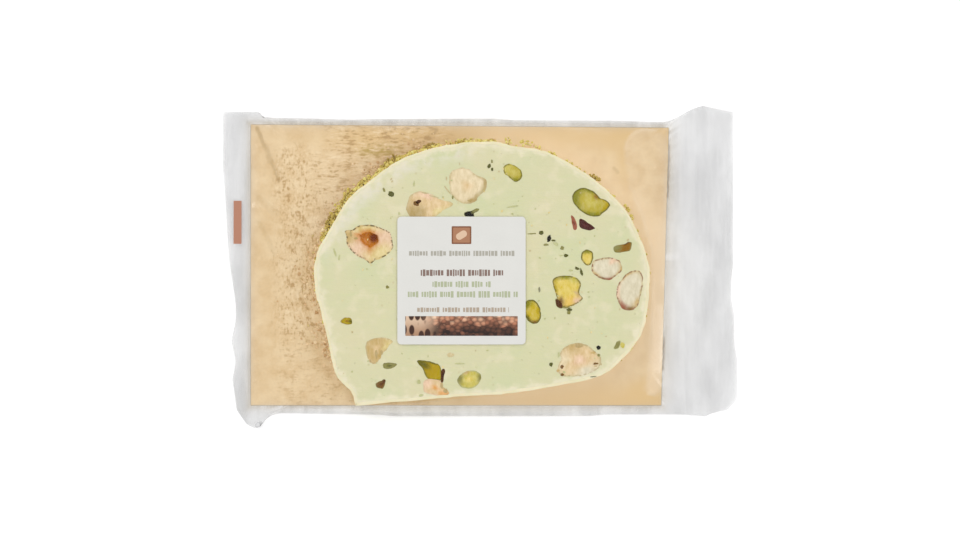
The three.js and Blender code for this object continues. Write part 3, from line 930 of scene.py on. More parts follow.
HAZELNUTS = [
    ((-21.7, 26.2), "peach", "peach", "sand", 0.3,
     [(-150, 40, 0.9, "shell"), (100, 35, 0.6, "rose"), (-35, 30, 0.6, "straw")],
     [(-31.2, 27.3), (-30.3, 29.9), (-28.2, 31.6), (-25.6, 32.3), (-23.0, 31.8), (-20.5, 30.8),
      (-17.5, 29.9), (-14.1, 28.6), (-11.5, 26.9), (-13.7, 25.0), (-16.7, 23.4), (-18.8, 21.7),
      (-21.4, 20.3), (-27.7, 20.3), (-30.3, 22.2), (-31.6, 24.7)]),
    ((-5.6, 34.6), "peach", "cream", "sand", 0.35,
     [(-62, 26, 0.35, "shell"), (-20, 22, 0.25, "taupe"), (95, 50, 0.7, "cream"), (10, 20, 0.2, "shell")],
     [(-13.2, 37.1), (-12.6, 40.1), (-10.2, 42.1), (-7.3, 42.5), (-4.7, 41.8), (-2.6, 39.9),
      (0.0, 38.6), (2.6, 37.3), (2.8, 34.6), (1.7, 32.0), (-0.4, 30.3), (-1.3, 28.0),
      (-3.9, 27.1), (-7.3, 27.1), (-9.8, 28.4), (-11.7, 30.3), (-13.2, 33.1)]),
    ((42.7, -39.7), "rose", "peach", "sand", 0.6,
     [(120, 30, 0.7, "tan"), (-60, 45, 0.6, "milk"), (180, 30, 0.6, "cream")],
     [(34.2, -36.8), (36.3, -34.2), (39.3, -32.9), (42.7, -32.5), (46.1, -33.6), (48.7, -35.7),
      (51.3, -38.3), (51.7, -41.0), (50.0, -43.8), (47.0, -45.5), (43.1, -46.6), (38.8, -46.8),
      (35.5, -46.4), (32.9, -44.6), (33.6, -41.8), (34.6, -39.3)]),
    ((-44.3, -34.6), "peach", "tan", "sand", 0.5,
     [(10, 28, 0.6, "straw"), (-105, 28, 0.6, "tan"), (100, 30, 0.4, "tan")],
     [(-48.9, -33.8), (-48.1, -31.8), (-45.3, -30.5), (-42.3, -30.1), (-39.3, -30.5), (-37.2, -31.8),
      (-38.8, -33.6), (-40.1, -35.7), (-41.2, -38.1), (-42.7, -40.1), (-45.3, -41.4),
      (-47.4, -40.3), (-48.5, -37.2)]),
    ((-19.1, -51.5), "orange", "peach", "rose", 0.3,
     [(150, 40, 0.7, "rose"), (-8, 22, 0.4, "tan"), (-40, 24, 0.6, "orange")],
     [(-23.9, -48.7), (-20.5, -47.7), (-16.9, -48.6), (-15.8, -51.1), (-14.1, -52.4),
      (-13.2, -54.2), (-15.8, -54.9), (-18.8, -54.9), (-22.0, -54.0), (-23.9, -53.2)]),
]
ALMONDS = [
    ((54.3, -0.6), "milk", "milk", "sand", 1.0,
     [(-112, 20, 0.22, "umber"), (-78, 20, 0.25, "brick"), (0, 36, 0.25, "tan"), (92, 34, 0.16, "taupe"),
      (-150, 22, 0.25, "tan"), (55, 20, 0.7, "rose")],
     [(47.9, 1.3), (49.1, 3.0), (51.7, 3.7), (55.1, 4.1), (58.5, 3.3), (60.7, 1.9), (61.1, -0.4),
      (59.8, -2.6), (57.6, -4.1), (55.7, -5.5), (53.1, -5.4), (50.7, -4.5), (48.7, -3.0),
      (47.6, -1.1)]),
    ((63.9, -9.9), "milk", "milk", "sand", 1.0,
     [(185, 38, 0.3, "rose"), (-112, 20, 0.32, "brick"), (-86, 16, 0.2, "umber"), (0, 40, 0.16, "taupe"),
      (100, 22, 0.22, "tan"), (-60, 20, 0.4, "tan")],
     [(61.5, -4.1), (63.2, -2.3), (65.8, -1.5), (68.3, -1.9), (69.6, -4.3), (69.6, -7.7),
      (68.9, -11.1), (68.3, -14.5), (67.1, -16.9), (65.0, -18.4), (62.0, -18.4), (60.1, -16.9),
      (58.9, -14.3), (58.3, -11.5), (58.6, -8.6), (60.0, -6.0)]),
]
PISTACHIOS = [
    ((14.1, 40.5), "lime", "pistachio", "pistachio", 0.8,
     [(-75, 28, 0.45, "fern"), (150, 45, 0.7, "lime"), (0, 30, 0.2, "fern")],
     [(10.2, 42.7), (11.7, 43.9), (14.3, 43.9), (16.7, 42.6), (17.9, 40.6), (18.0, 38.6),
      (16.9, 37.0), (14.9, 36.3), (13.4, 37.4), (11.9, 38.8), (10.3, 40.1)]),
    ((47.1, 27.7), "lime", "pistachio", "fern", 1.0,
     [(165, 44, 0.45, "fern"), (95, 25, 0.3, "fern"), (42, 22, 0.5, "rust"), (-80, 34, 0.35, "fern"),
      (-12, 30, 0.3, "mustard")],
     [(39.7, 31.2), (41.2, 32.8), (43.6, 33.8), (46.1, 33.4), (48.3, 32.4), (50.0, 30.9),
      (51.5, 29.3), (53.6, 28.5), (55.2, 27.4), (55.5, 25.9), (54.2, 24.4), (52.5, 23.0),
      (50.7, 21.8), (48.1, 21.6), (45.5, 22.4), (43.3, 23.8), (41.5, 25.3), (40.1, 27.2),
      (39.5, 29.2)]),
    ((45.8, 4.2), "butter", "butter", "tan", 0.9,
     [(90, 45, 0.6, "fern"), (0, 25, 0.25, "olive"), (180, 25, 0.25, "olive")],
     [(43.7, 6.4), (45.7, 7.4), (47.6, 6.7), (48.4, 4.9), (48.2, 2.8), (47.0, 0.9), (45.5, 0.7),
      (43.9, 2.1), (43.1, 4.3)]),
    ((22.4, -19.1), "honey", "honey", "pine", 1.0,
     [(125, 35, 0.6, "fern"), (-125, 28, 0.45, "pine"), (-78, 24, 0.3, "umber"), (0, 38, 0.5, "mustard")],
     [(19.4, -15.2), (21.4, -13.9), (23.6, -14.5), (25.2, -16.5), (25.9, -19.0), (25.9, -21.8),
      (24.7, -23.8), (22.6, -24.2), (20.8, -23.2), (19.4, -21.2), (18.8, -18.2)]),
    ((37.4, -9.7), "butter", "butter", "tan", 0.8,
     [(90, 50, 0.3, "fern"), (-75, 40, 0.7, "apricot"), (-22, 14, 0.6, "tan"), (175, 26, 0.3, "mustard"),
      (-50, 16, 0.4, "rose"), (60, 22, 0.5, "lime"), (-120, 16, 0.5, "umber")],
     [(31.0, -5.8), (32.7, -4.2), (36.3, -3.7), (39.7, -4.1), (42.1, -5.3), (43.1, -7.5),
      (42.5, -9.8), (42.6, -11.9), (44.0, -13.4), (41.8, -15.4), (39.3, -16.7), (36.8, -17.2),
      (34.4, -16.7), (33.3, -14.5), (32.5, -11.9), (31.6, -9.1)]),
    ((-20.1, -43.9), "brass", "brass", "fern", 0.7,
     [(150, 26, 0.9, "pine"), (90, 30, 0.3, "pine"), (-25, 30, 0.6, "mustard"), (-95, 35, 0.4, "mustard")],
     [(-26.9, -40.1), (-25.0, -39.8), (-22.4, -40.2), (-19.7, -40.7), (-17.7, -41.5), (-16.7, -42.9),
      (-16.5, -45.3), (-16.5, -48.2), (-19.7, -48.4), (-22.4, -47.6), (-23.7, -45.5),
      (-24.7, -43.1), (-26.0, -41.8)]),
    ((-4.6, -47.9), "butter", "lime", "faint", 0.15,
     [(180, 34, 0.5, "olive"), (112, 26, 0.4, "tan"), (5, 25, 0.4, "olive")],
     [(-9.7, -48.7), (-8.8, -46.6), (-6.9, -45.1), (-4.3, -44.2), (-1.5, -44.5), (0.4, -46.1),
      (0.7, -48.3), (-0.7, -50.4), (-3.4, -51.8), (-6.5, -51.8), (-8.5, -50.7)]),
    ((-56.9, -23.1), "rust", "mustard", "shell", 0.3,
     [(-5, 30, 0.8, "pine")],
     [(-59.4, -22.9), (-57.9, -21.7), (-55.9, -21.6), (-54.6, -22.8), (-54.8, -24.4), (-57.0, -24.6),
      (-58.9, -24.1)]),
]
CHIPS = [
    ((-4.2, 22.7), "coal", "coal", "moss", 0.5, [(32, 25, 0.9, "olive")],
     [(-6.8, 23.0), (-5.4, 23.7), (-3.4, 24.0), (-1.7, 25.0), (-0.3, 24.8), (-1.1, 23.7),
      (-2.5, 23.0), (-2.8, 21.6), (-6.0, 21.6)]),
    ((40.2, 18.7), "mauve", "brick", "brick", 0.5, [],
     [(38.8, 21.7), (39.7, 21.7), (40.7, 20.1), (41.3, 18.4), (41.3, 16.1), (39.8, 16.1), (39.3, 18.8)]),
    ((44.7, 17.7), "mauve", "plum", "plum", 0.5, [],
     [(42.4, 20.4), (44.4, 20.2), (46.1, 18.8), (47.9, 17.7), (49.1, 16.5), (47.2, 15.7),
      (44.4, 16.1), (42.6, 17.1)]),
    ((61.4, 8.2), "rust", "rust", "olive", 0.4, [(180, 42, 0.95, "olive"), (62, 18, 0.5, "bark")],
     [(57.1, 7.0), (57.2, 8.6), (59.8, 9.5), (62.2, 9.9), (63.2, 10.8), (64.7, 10.4), (64.7, 8.5),
      (63.7, 6.9), (60.7, 6.3), (58.1, 6.1)]),
    ((-38.6, -42.2), "moss", "olive", "olive", 0.5, [],
     [(-41.4, -42.2), (-40.9, -41.1), (-38.4, -40.9), (-35.9, -41.2), (-35.7, -42.1), (-38.0, -43.4),
      (-40.6, -43.4)]),
    ((-42.1, -50.0), "bark", "umber", "olive", 0.5, [(45, 30, 0.8, "bark")],
     [(-44.5, -50.0), (-43.6, -49.1), (-42.1, -48.7), (-41.3, -48.0), (-40.4, -48.4), (-40.7, -50.4),
      (-41.8, -52.1), (-44.0, -51.4)]),
    ((-15.7, -46.1), "coal", "bark", "bark", 0.5, [],
     [(-16.6, -44.4), (-15.6, -43.4), (-14.7, -44.2), (-15.3, -46.1), (-15.7, -49.1), (-16.8, -48.9)]),
    ((58.6, -33.4), "olive", "olive", "faint", 0.3, [],
     [(57.1, -34.6), (58.0, -32.9), (58.6, -31.7), (60.0, -31.6), (59.9, -33.3), (58.9, -34.8),
      (57.6, -35.2)]),
    ((33.7, -15.8), "bark", "bark", "olive", 0.5, [],
     [(32.2, -13.7), (33.8, -14.0), (35.2, -15.4), (35.2, -17.5), (33.5, -17.5), (32.5, -16.2)]),
]

# Small flecks on the cut face: place, width, height, turn in degrees and colour.
FLECKS = [
    (5.1, 45.0, 0.8, 1.5, 0, "olive"), (3.8, 43.1, 1.3, 1.9, -25, "moss"),
    (5.2, 41.7, 0.9, 1.5, 0, "moss"), (22.3, 14.2, 4.7, 0.5, 2, "olive"),
    (26.0, 14.7, 2.0, 1.8, 0, "moss"), (29.5, 12.2, 1.5, 2.8, -18, "black"),
    (31.4, 11.3, 1.9, 0.8, 0, "moss"), (28.2, 9.5, 2.3, 0.9, 0, "olive"),
    (35.1, 8.1, 1.5, 1.6, 0, "olive"), (32.5, 9.8, 2.6, 1.4, -30, "faint"),
    (36.7, 4.9, 1.9, 1.4, 10, "moss"), (34.6, 4.9, 1.7, 0.5, 0, "faint"),
    (41.4, -0.6, 2.1, 1.2, -25, "moss"), (43.3, -2.2, 1.1, 3.2, 12, "moss"),
    (38.8, -1.5, 1.9, 0.7, 0, "faint"), (25.4, -9.8, 0.9, 2.2, 0, "grey"),
    (46.4, -10.7, 0.8, 0.7, 0, "faint"), (46.6, -12.8, 0.6, 0.9, 0, "faint"),
    (38.3, -18.2, 2.6, 1.1, 0, "moss"), (38.0, -19.5, 1.6, 1.5, 0, "olive"),
    (36.8, -17.4, 3.9, 0.5, 0, "olive"), (-39.5, -8.6, 1.3, 1.3, 0, "olive"),
    (-28.2, 35.5, 0.7, 2.6, 0, "faint"), (-38.0, 31.1, 2.9, 2.0, -14, "moss"),
    (-41.0, 32.9, 0.9, 2.0, 20, "olive"), (-26.2, 27.9, 2.2, 1.9, 0, "bark"),
    (-27.2, 27.2, 2.6, 2.2, -20, "umber"), (-23.7, 31.6, 3.0, 0.6, -8, "taupe"),
    (-19.7, 30.0, 3.9, 0.6, -14, "taupe"), (-13.9, 32.9, 4.7, 0.6, -52, "taupe"),
    (-11.6, 29.8, 0.8, 1.5, 0, "olive"), (-14.3, 37.8, 0.6, 1.7, 10, "taupe"),
    (-3.4, 28.5, 3.9, 1.1, 8, "shell"), (42.3, -33.6, 2.8, 2.0, 0, "shell"),
    (35.1, -42.6, 1.6, 1.7, 0, "umber"), (35.2, -46.0, 1.5, 1.2, 0, "umber"),
    (33.3, -44.3, 1.7, 1.1, 30, "tan"), (50.6, -34.4, 1.8, 2.0, 0, "black"),
    (50.7, -37.6, 1.3, 1.2, 0, "olive"), (49.4, -41.3, 2.1, 0.9, 0, "umber"),
    (49.4, -42.3, 1.3, 0.5, 0, "shell"), (30.4, -41.6, 1.6, 2.0, 0, "moss"),
    (33.6, -37.5, 0.9, 2.1, 0, "faint"), (48.3, -36.6, 2.1, 0.9, 0, "tan"),
    (48.5, -46.8, 2.6, 0.6, 8, "grey"), (60.9, -33.3, 1.7, 2.9, 0, "lime"),
    (-44.3, -37.2, 1.3, 3.7, 6, "shell"), (-42.0, -36.5, 1.0, 1.9, 0, "shell"),
    (-46.8, -40.1, 0.9, 1.3, 0, "shell"), (-12.6, -37.6, 2.8, 1.8, 0, "sand"),
    (-8.5, -41.3, 4.3, 0.6, 0, "faint"), (-26.2, -49.1, 1.6, 1.7, 0, "faint"),
    (-25.2, -54.8, 2.0, 1.1, 10, "faint"), (-14.7, -53.0, 1.8, 1.8, 20, "shell"),
    (-16.3, -50.6, 1.1, 2.6, 0, "shell"), (-55.1, 14.1, 1.0, 2.6, 10, "shell"),
    (-53.1, 12.2, 1.7, 0.9, 0, "shell"), (-62.0, 6.3, 0.8, 3.4, 18, "faint"),
    (-60.2, 4.0, 0.7, 2.2, -10, "faint"), (13.9, 25.8, 5.0, 0.6, 8, "faint"),
]
FAINT_FLECKS = 90
FLECK_CUT = 0.2  # a fleck is a round lump cut off flat at this share of its height
FLECK_HEIGHT = 0.5
FLECK_CLEAR = 0.03  # how far its flat top stands over the nuts


def cut_nut(name, middle, corners, hollow=False):
    """A nut that the knife has cut through, modelled from a disc: down to a smaller underside,
    and on top in rings that grow smaller towards its middle, where it stands a little higher.
    """
    line = smooth_line(corners, NUT_STEPS, closed=True)
    line = np.array([p + 0.22 * np.array([grain(*p, 1.4, 1.0), grain(*p, 1.4, 4.0)]) for p in line])
    bpy.ops.object.select_all(action="DESELECT")
    bpy.ops.mesh.primitive_circle_add(vertices=len(line), radius=1, fill_type="NGON")
    nut = named(name)
    under = np.array(middle) + NUT_UNDERSIDE * (line - middle)
    move_points(nut, np.column_stack([under, np.full(len(line), CUT_FACE - NUT_DEPTH)]))
    hub = Vector((*middle, CUT_FACE)) * MM

    def ring(share, rise):
        """Draws the selected face up and resizes it."""
        bpy.ops.mesh.extrude_region_move(TRANSFORM_OT_translate={"value": (0, 0, rise * MM)})
        bpy.ops.transform.resize(value=(share, share, 1), center_override=hub)

    with bench(nut):
        bpy.ops.mesh.select_all(action="SELECT")
        ring(1 / NUT_UNDERSIDE, NUT_DEPTH + RIM_RISE)
        before = 1.0
        for share in RING_SHARES:
            if hollow and share < CAVITY:
                break
            ring(share / before, (NUT_RISE - RIM_RISE) * (before**2 - share**2))
            before = share
        if hollow:
            for share, drop in CAVITY_RINGS:
                ring(share, -drop * CAVITY_DEPTH)
        bpy.ops.mesh.select_all(action="SELECT")
        bpy.ops.mesh.normals_make_consistent(inside=False)
    take(nut)
    bpy.ops.object.shade_smooth_by_angle(angle=math.radians(60))
    return nut, line


def nut_piece(name, row, hollow=False):
    """One cut nut with its colours. Its points also carry inset, the distance in from its rim."""
    middle, heart, flesh, rim, skin, touches, corners = row
    nut, line = cut_nut(name, middle, corners, hollow)
    places = points(nut)
    away = places[:, :2] - middle
    angle = np.arctan2(away[:, 1], away[:, 0])
    rim_away = line - middle
    rim_angle = np.arctan2(rim_away[:, 1], rim_away[:, 0])
    order = np.argsort(rim_angle)
    reach = np.interp(angle, rim_angle[order], np.linalg.norm(rim_away, axis=1)[order],
                      period=2 * math.pi)
    below = places[:, 2] < CUT_FACE - NUT_BELOW
    spread = np.where(below, 1.0, np.linalg.norm(away, axis=1) / reach)
    spread = np.clip(spread, 0, 1)
    hues = {key: np.array(value) for key, value in NUT_COLOURS.items()}
    inner = CAVITY if hollow else 0.0
    colours = mixed(hues[heart], hues[flesh], soft_step(spread, inner, inner + 0.5))
    colours = mixed(colours, hues[rim], soft_step(spread, 0.8, 1.0))
    for direction, width, depth, colour in touches:
        turn = np.degrees(angle) - direction
        turn = (turn + 180) % 360 - 180
        share = np.exp(-((turn / width) ** 2)) * soft_step(spread, 1 - depth * 1.15, 1 - depth * 0.5)
        colours = mixed(colours, hues[colour], share)
    if hollow:
        deep = soft_step(CUT_FACE - places[:, 2], 0.05, 0.8) * (places[:, 2] > CUT_FACE - NUT_BELOW)
        core = np.linalg.norm(places[:, :2] - CAVITY_CORE, axis=1)
        shade = mixed(hues["ember"], hues["caramel"], soft_step(core, 0.8, 3.0))
        colours = mixed(colours, shade, deep)
    paint_points(nut, colours)
    mark_points(nut, "inset", (1 - spread) * reach)
    mark_points(nut, "skin", np.full(len(places), skin))
    return nut


def nuts(name, rows, finish, hollow=False):
    """All cut nuts of one kind, as one piece."""
    made = [nut_piece(f"{name}_{i}", row, hollow) for i, row in enumerate(rows)]
    return finish_with(join(name, made), finish)


def flecks():
    """Slivers and dots of nut skin in the cut face, each a copy of one flat lump."""
    bpy.ops.object.select_all(action="DESELECT")
    bpy.ops.mesh.primitive_uv_sphere_add(segments=9, ring_count=4, radius=1)
    lump = named("fleck")
    with bench(lump):
        bpy.ops.mesh.select_all(action="SELECT")
        bpy.ops.mesh.bisect(plane_co=(0, 0, FLECK_CUT), plane_no=(0, 0, 1), use_fill=True,
                            clear_outer=True)
    shape = points(lump) * MM
    draw = np.random.default_rng(3)
    rows = list(FLECKS)
    while len(rows) < len(FLECKS) + FAINT_FLECKS:
        x, y = draw.uniform(-66, 68), draw.uniform(-52, 50)
        if edge_gap([(x, y)])[0] < -3:
            rows.append((x, y, draw.uniform(0.3, 0.9), draw.uniform(0.3, 1.3), draw.uniform(0, 180),
                         str(draw.choice(["faint", "taupe", "faint", "straw"]))))
    made = []
    for x, y, width, height, turn, colour in rows:
        copy = bpy.data.objects.new("fleck", lump.data.copy())
        bpy.context.scene.collection.objects.link(copy)
        rough = 1 + draw.uniform(-0.3, 0.3, len(shape))[:, None]
        flat = shape[:, :2] * rough * (width / 2, height / 2)
        cos, sin = math.cos(math.radians(turn)), math.sin(math.radians(turn))
        up = CUT_FACE + NUT_RISE + FLECK_CLEAR + (shape[:, 2] - FLECK_CUT) * FLECK_HEIGHT
        move_points(copy, np.column_stack([x + flat[:, 0] * cos - flat[:, 1] * sin,
                                           y + flat[:, 0] * sin + flat[:, 1] * cos, up]))
        paint_points(copy, np.tile(NUT_COLOURS[colour], (len(shape), 1)))
        mark_points(copy, "inset", np.full(len(shape), 5.0))
        mark_points(copy, "skin", np.zeros(len(shape)))
        made.append(copy)
    bpy.data.objects.remove(lump)
    return finish_with(join("flecks", made), kernel_finish("fleck_skin", ink(120, 104, 70), 1.0))


def all_nuts():
    """Every kind of nut in the cut face, and the flecks."""
    shell = kernel_finish("hazelnut_kernel", ink(104, 88, 50), 0.5)
    return [
        nuts("hollow_hazelnut", [HOLLOW_HAZELNUT], shell, hollow=True),
        nuts("hazelnuts", HAZELNUTS, kernel_finish("soft_hazelnut", ink(178, 158, 114), 0.46)),
        nuts("almonds", ALMONDS, kernel_finish("almond_kernel", ink(142, 102, 76), 0.48)),
        nuts("pistachios", PISTACHIOS, kernel_finish("pistachio_kernel", ink(106, 100, 28), 0.4)),
        nuts("nut_chips", CHIPS, kernel_finish("nut_chip", ink(96, 86, 50), 0.6)),
        flecks(),
    ]


# ---- crumbs --------------------------------------------------------------------------------------------

def crumbs(name, places, sizes, tones, rounds, seed, flatness=1.0):
    """Many small uneven grains as one mesh, each a rounded lump with few faces."""
    bpy.ops.object.select_all(action="DESELECT")
    bpy.ops.mesh.primitive_ico_sphere_add(subdivisions=rounds, radius=1)
    lump = named(name + "_lump")
    shape = points(lump) * MM
    faces = np.array([face.vertices[:] for face in lump.data.polygons])
    bpy.data.objects.remove(lump)
    draw = np.random.default_rng(seed)
    count, corners = len(places), len(shape)
    stretch = draw.uniform(0.65, 1.2, (count, 1, 3))
    dents = draw.uniform(0.8, 1.15, (count, corners, 1))
    turns = draw.uniform(0, 2 * math.pi, count)
    cos, sin = np.cos(turns)[:, None], np.sin(turns)[:, None]
    grains = shape[None] * stretch * dents * np.reshape(sizes, (-1, 1, 1)) / 2
    x = grains[:, :, 0] * cos - grains[:, :, 1] * sin
    y = grains[:, :, 0] * sin + grains[:, :, 1] * cos
    spots = np.asarray(places, float)
    cloud = np.stack([x, y, grains[:, :, 2] * flatness], 2) + spots[:, None, :]
    mesh = bpy.data.meshes.new(name)
    all_faces = (faces[None] + corners * np.arange(count)[:, None, None]).reshape(-1, 3)
    mesh.from_pydata(cloud.reshape(-1, 3) * MM, [], all_faces)
    piece = bpy.data.objects.new(name, mesh)
    bpy.context.scene.collection.objects.link(piece)
    mark_points(piece, "tone", np.repeat(tones, corners))
    return piece


def edge_lengths():
    """The lengths of the edge's stretches, and how far round each of its points lies."""
    steps = np.linalg.norm(np.roll(EDGE, -1, 0) - EDGE, axis=1)
    return steps, np.concatenate([[0], np.cumsum(steps)])


def on_edge(shares):
    """Points of the slice's edge and the outward directions there, by their share of the way round."""
    steps, sums = edge_lengths()
    at = np.searchsorted(sums, np.asarray(shares) * sums[-1], side="right") - 1
    at = np.clip(at, 0, len(EDGE) - 1)
    rest = (shares * sums[-1] - sums[at]) / steps[at]
    ahead = np.roll(EDGE, -1, 0)[at] - EDGE[at]
    spots = EDGE[at] + ahead * rest[:, None]
    outward = np.stack([-ahead[:, 1], ahead[:, 0]], 1) / np.linalg.norm(ahead, axis=1)[:, None]
    return spots, outward


# Where on the slice's edge the chopped pistachios stick, as shares of the way round from its tip
# (clockwise: up the left side, over the top, down the right), how many and how far out they reach.
CRUMB_ZONES = [
    (0.05, 0.18, 14, 0.5),
    (0.18, 0.305, 640, 2.4),
    (0.305, 0.345, 170, 1.7),
    (0.345, 0.4, 120, 1.1),
    (0.4, 0.62, 34, 0.4),
    (0.62, 0.74, 8, 0.4),
]

# Clumps of pistachio that stand out from the edge: place, length, thickness, number and tone.
CRUMB_CLUMPS = [
    (-63.6, 22.0, 4.5, 2.0, 12, 0.25), (-60.8, 26.6, 5.0, 2.2, 14, 0.42), (-56.6, 31.6, 4.5, 2.0, 14, 0.3),
    (-53.4, 33.8, 4.5, 2.0, 12, 0.6), (-48.4, 37.8, 5.0, 1.7, 12, 0.5), (-43.5, 41.0, 4.0, 1.2, 6, 0.65),
    (-39.0, 43.4, 3.4, 1.5, 7, 0.5), (-33.0, 47.0, 4.6, 2.2, 13, 0.12), (-28.6, 48.6, 4.0, 1.6, 9, 0.45),
    (-24.0, 50.0, 5.4, 1.6, 12, 0.55), (-19.4, 51.2, 4.0, 1.3, 8, 0.45), (-13.4, 53.0, 2.8, 2.6, 9, 0.8),
    (-8.6, 53.8, 5.0, 1.5, 10, 0.38), (-3.4, 54.4, 5.0, 1.5, 9, 0.5), (3.4, 54.6, 5.5, 1.2, 7, 0.68),
    (12.2, 54.2, 3.2, 2.0, 9, 0.38), (19.6, 53.4, 4.8, 2.2, 13, 0.52), (24.4, 51.4, 3.6, 0.8, 5, 0.82),
    (31.4, 48.2, 2.8, 1.0, 8, 0.5), (38.0, 44.8, 3.6, 1.1, 9, 0.42), (49.2, 38.2, 4.2, 1.2, 16, 0.1),
    (62.6, 25.6, 3.6, 0.9, 9, 0.3), (65.2, 21.2, 2.4, 0.7, 5, 0.5), (-66.8, 15.5, 4.0, 1.5, 7, 0.8),
]


CRUMBS_LOWEST = 6.0  # how far under the cut face crumbs stick to the slice's side
CRUMBS_HIGHEST = 1.4
CRUMB_REACH = 0.6  # of a crumb from its middle, as a share of its size
CRUMB_CLEAR = 0.25  # how far crumbs stay from the film


def edge_near(x, y):
    """The outward direction of the slice's edge nearest to a place."""
    at = int(np.argmin(np.hypot(EDGE[:, 0] - x, EDGE[:, 1] - y)))
    ahead = EDGE[(at + 1) % len(EDGE)] - EDGE[at - 1]
    return np.array([-ahead[1], ahead[0]]) / np.linalg.norm(ahead)


def surface(piece):
    """A search tree of the piece's faces."""
    return BVHTree.FromObject(piece, bpy.context.evaluated_depsgraph_get())


def top_over(tree, x, y):
    """Height of the topmost face over a place, in millimetres."""
    return tree.ray_cast(Vector((x, y, FILM_TOP + 5)) * MM, Vector((0, 0, -1)))[0].z / MM


def under_film(places, sizes, bag):
    """Lowers places so that grains of these sizes stay clear of the film over them."""
    skin = surface(bag)
    for place, size in zip(places, sizes):
        reach = size * CRUMB_REACH
        for x, y in ((0, 0), (1, 0), (-1, 0), (0, 1), (0, -1)):
            top = top_over(skin, place[0] + x * reach, place[1] + y * reach)
            place[2] = min(place[2], top - reach - CRUMB_CLEAR)
    return places


def side_crumbs(bag):
    """Chopped pistachios that stick to the slice's side, thinly by zones and thickly in clumps."""
    draw = np.random.default_rng(41)
    shares = np.concatenate([draw.uniform(low, high, count) for low, high, count, _ in CRUMB_ZONES])
    spots, outward = on_edge(shares)
    out = np.concatenate([draw.uniform(0, 1, count) ** 1.2 for _, _, count, _ in CRUMB_ZONES])
    off = out * np.concatenate([np.full(count, reach) for _, _, count, reach in CRUMB_ZONES])
    patchy = np.array([grain(*p, 6.0, 6.0) for p in spots])
    off *= np.clip(0.8 + 1.3 * patchy, 0.15, 1.4)
    sizes = draw.uniform(0.7, 1.7, len(shares))
    highest = CUT_FACE - CRUMBS_HIGHEST
    height = draw.uniform(CUT_FACE - CRUMBS_LOWEST, highest, len(shares)) - 2.2 * off
    places = [np.column_stack([spots + outward * off[:, None], height])]
    tones = [np.clip(0.64 - 0.42 * out - 0.45 * patchy + draw.normal(0, 0.13, len(shares)), 0, 1)]
    all_sizes = [sizes]
    for x, y, long, thick, count, tone in CRUMB_CLUMPS:
        out = edge_near(x, y)
        along = np.array([-out[1], out[0]])
        spots = (np.array([x, y]) + along * draw.normal(0, long / 3.2, (count, 1))
                 + out * draw.normal(0, thick / 3.2, (count, 1)))
        places.append(np.column_stack([spots, draw.uniform(5, highest, count)]))
        tones.append(np.clip(tone + draw.normal(0, 0.14, count), 0, 1))
        all_sizes.append(draw.uniform(0.8, 1.8, count))
    sizes = np.concatenate(all_sizes)
    piece = crumbs("side_crumbs", under_film(np.concatenate(places), sizes, bag), sizes,
                   np.concatenate(tones), 1, 42)
    return finish_with(piece, crumb_finish("chopped_pistachio", [
        (0.0, ink(172, 144, 70)), (0.2, ink(198, 174, 88)), (0.45, ink(216, 198, 104)),
        (0.65, ink(230, 218, 138)), (0.82, ink(208, 166, 112)), (1.0, ink(238, 216, 168))]))


def card_crumbs():
    """Crumbs that have fallen off on the card, thickest beside the slice's left side."""
    draw = np.random.default_rng(77)
    near, far = 260, 80
    shares = np.concatenate([draw.uniform(0.05, 0.33, near), draw.uniform(0.06, 0.36, far)])
    spots, outward = on_edge(shares)
    off = np.concatenate([0.4 + draw.exponential(1.7, near), 1.0 + draw.exponential(6.0, far)])
    sizes = np.concatenate([draw.uniform(0.7, 1.7, near), draw.uniform(0.5, 1.0, far)])
    ground = spots + outward * off[:, None]
    keep = (ground[:, 0] > -94) & (ground[:, 1] < 58.5) & (off < 26)
    places = np.column_stack([ground, CARD_TOP + sizes * 0.12])[keep]
    piece = crumbs("card_crumbs", places, sizes[keep], draw.uniform(0, 1, near + far)[keep], 1, 78, 0.35)
    return finish_with(piece, crumb_finish("sugar_and_nut_crumbs", [
        (0.0, ink(190, 148, 100)), (0.2, ink(214, 176, 128)), (0.5, ink(230, 198, 154)),
        (0.85, ink(242, 216, 176)), (1.0, ink(210, 186, 120))]))


# ---- the film --------------------------------------------------------------------------------------------

# Folds of the tight film: from, to, half width and rise, in millimetres.
FOLDS = [
    ((-97.0, 60.6), (-89.0, 45.0), 0.9, 0.2),
    ((-94.6, 60.4), (-84.5, 36.0), 1.2, 0.25),
    ((-99.5, 33.0), (-87.0, 23.0), 1.4, 0.15),
    ((-96.0, 20.5), (-87.6, 3.5), 1.2, 0.12),
    ((-108.0, 40.0), (-99.0, 58.0), 1.6, 0.3),
    ((84.0, 61.0), (80.0, 20.0), 1.0, 0.2),
    ((-92.0, -62.0), (-62.0, -45.0), 1.4, 0.3),
    ((90.0, -60.0), (63.0, -38.0), 1.4, 0.3),
    ((80.0, -62.0), (86.0, -36.0), 1.1, 0.3),
]

# The film stands a little off the card along this line, beside the slice: points and half widths.
LIFTED = [((71.5, 50.0), 9.2), ((72.3, 36.0), 8.2), ((74.8, 23.0), 5.6), ((77.0, 8.0), 3.6),
          ((76.4, -30.0), 3.0), ((74.5, -52.0), 3.0)]
LIFT = 0.5  # how far it stands off there
WRINKLES = 70
LOBE_TIP = (-95.3, -68.2)  # where the film is bunched
LOBE_REACH = 1.2  # and how far round it

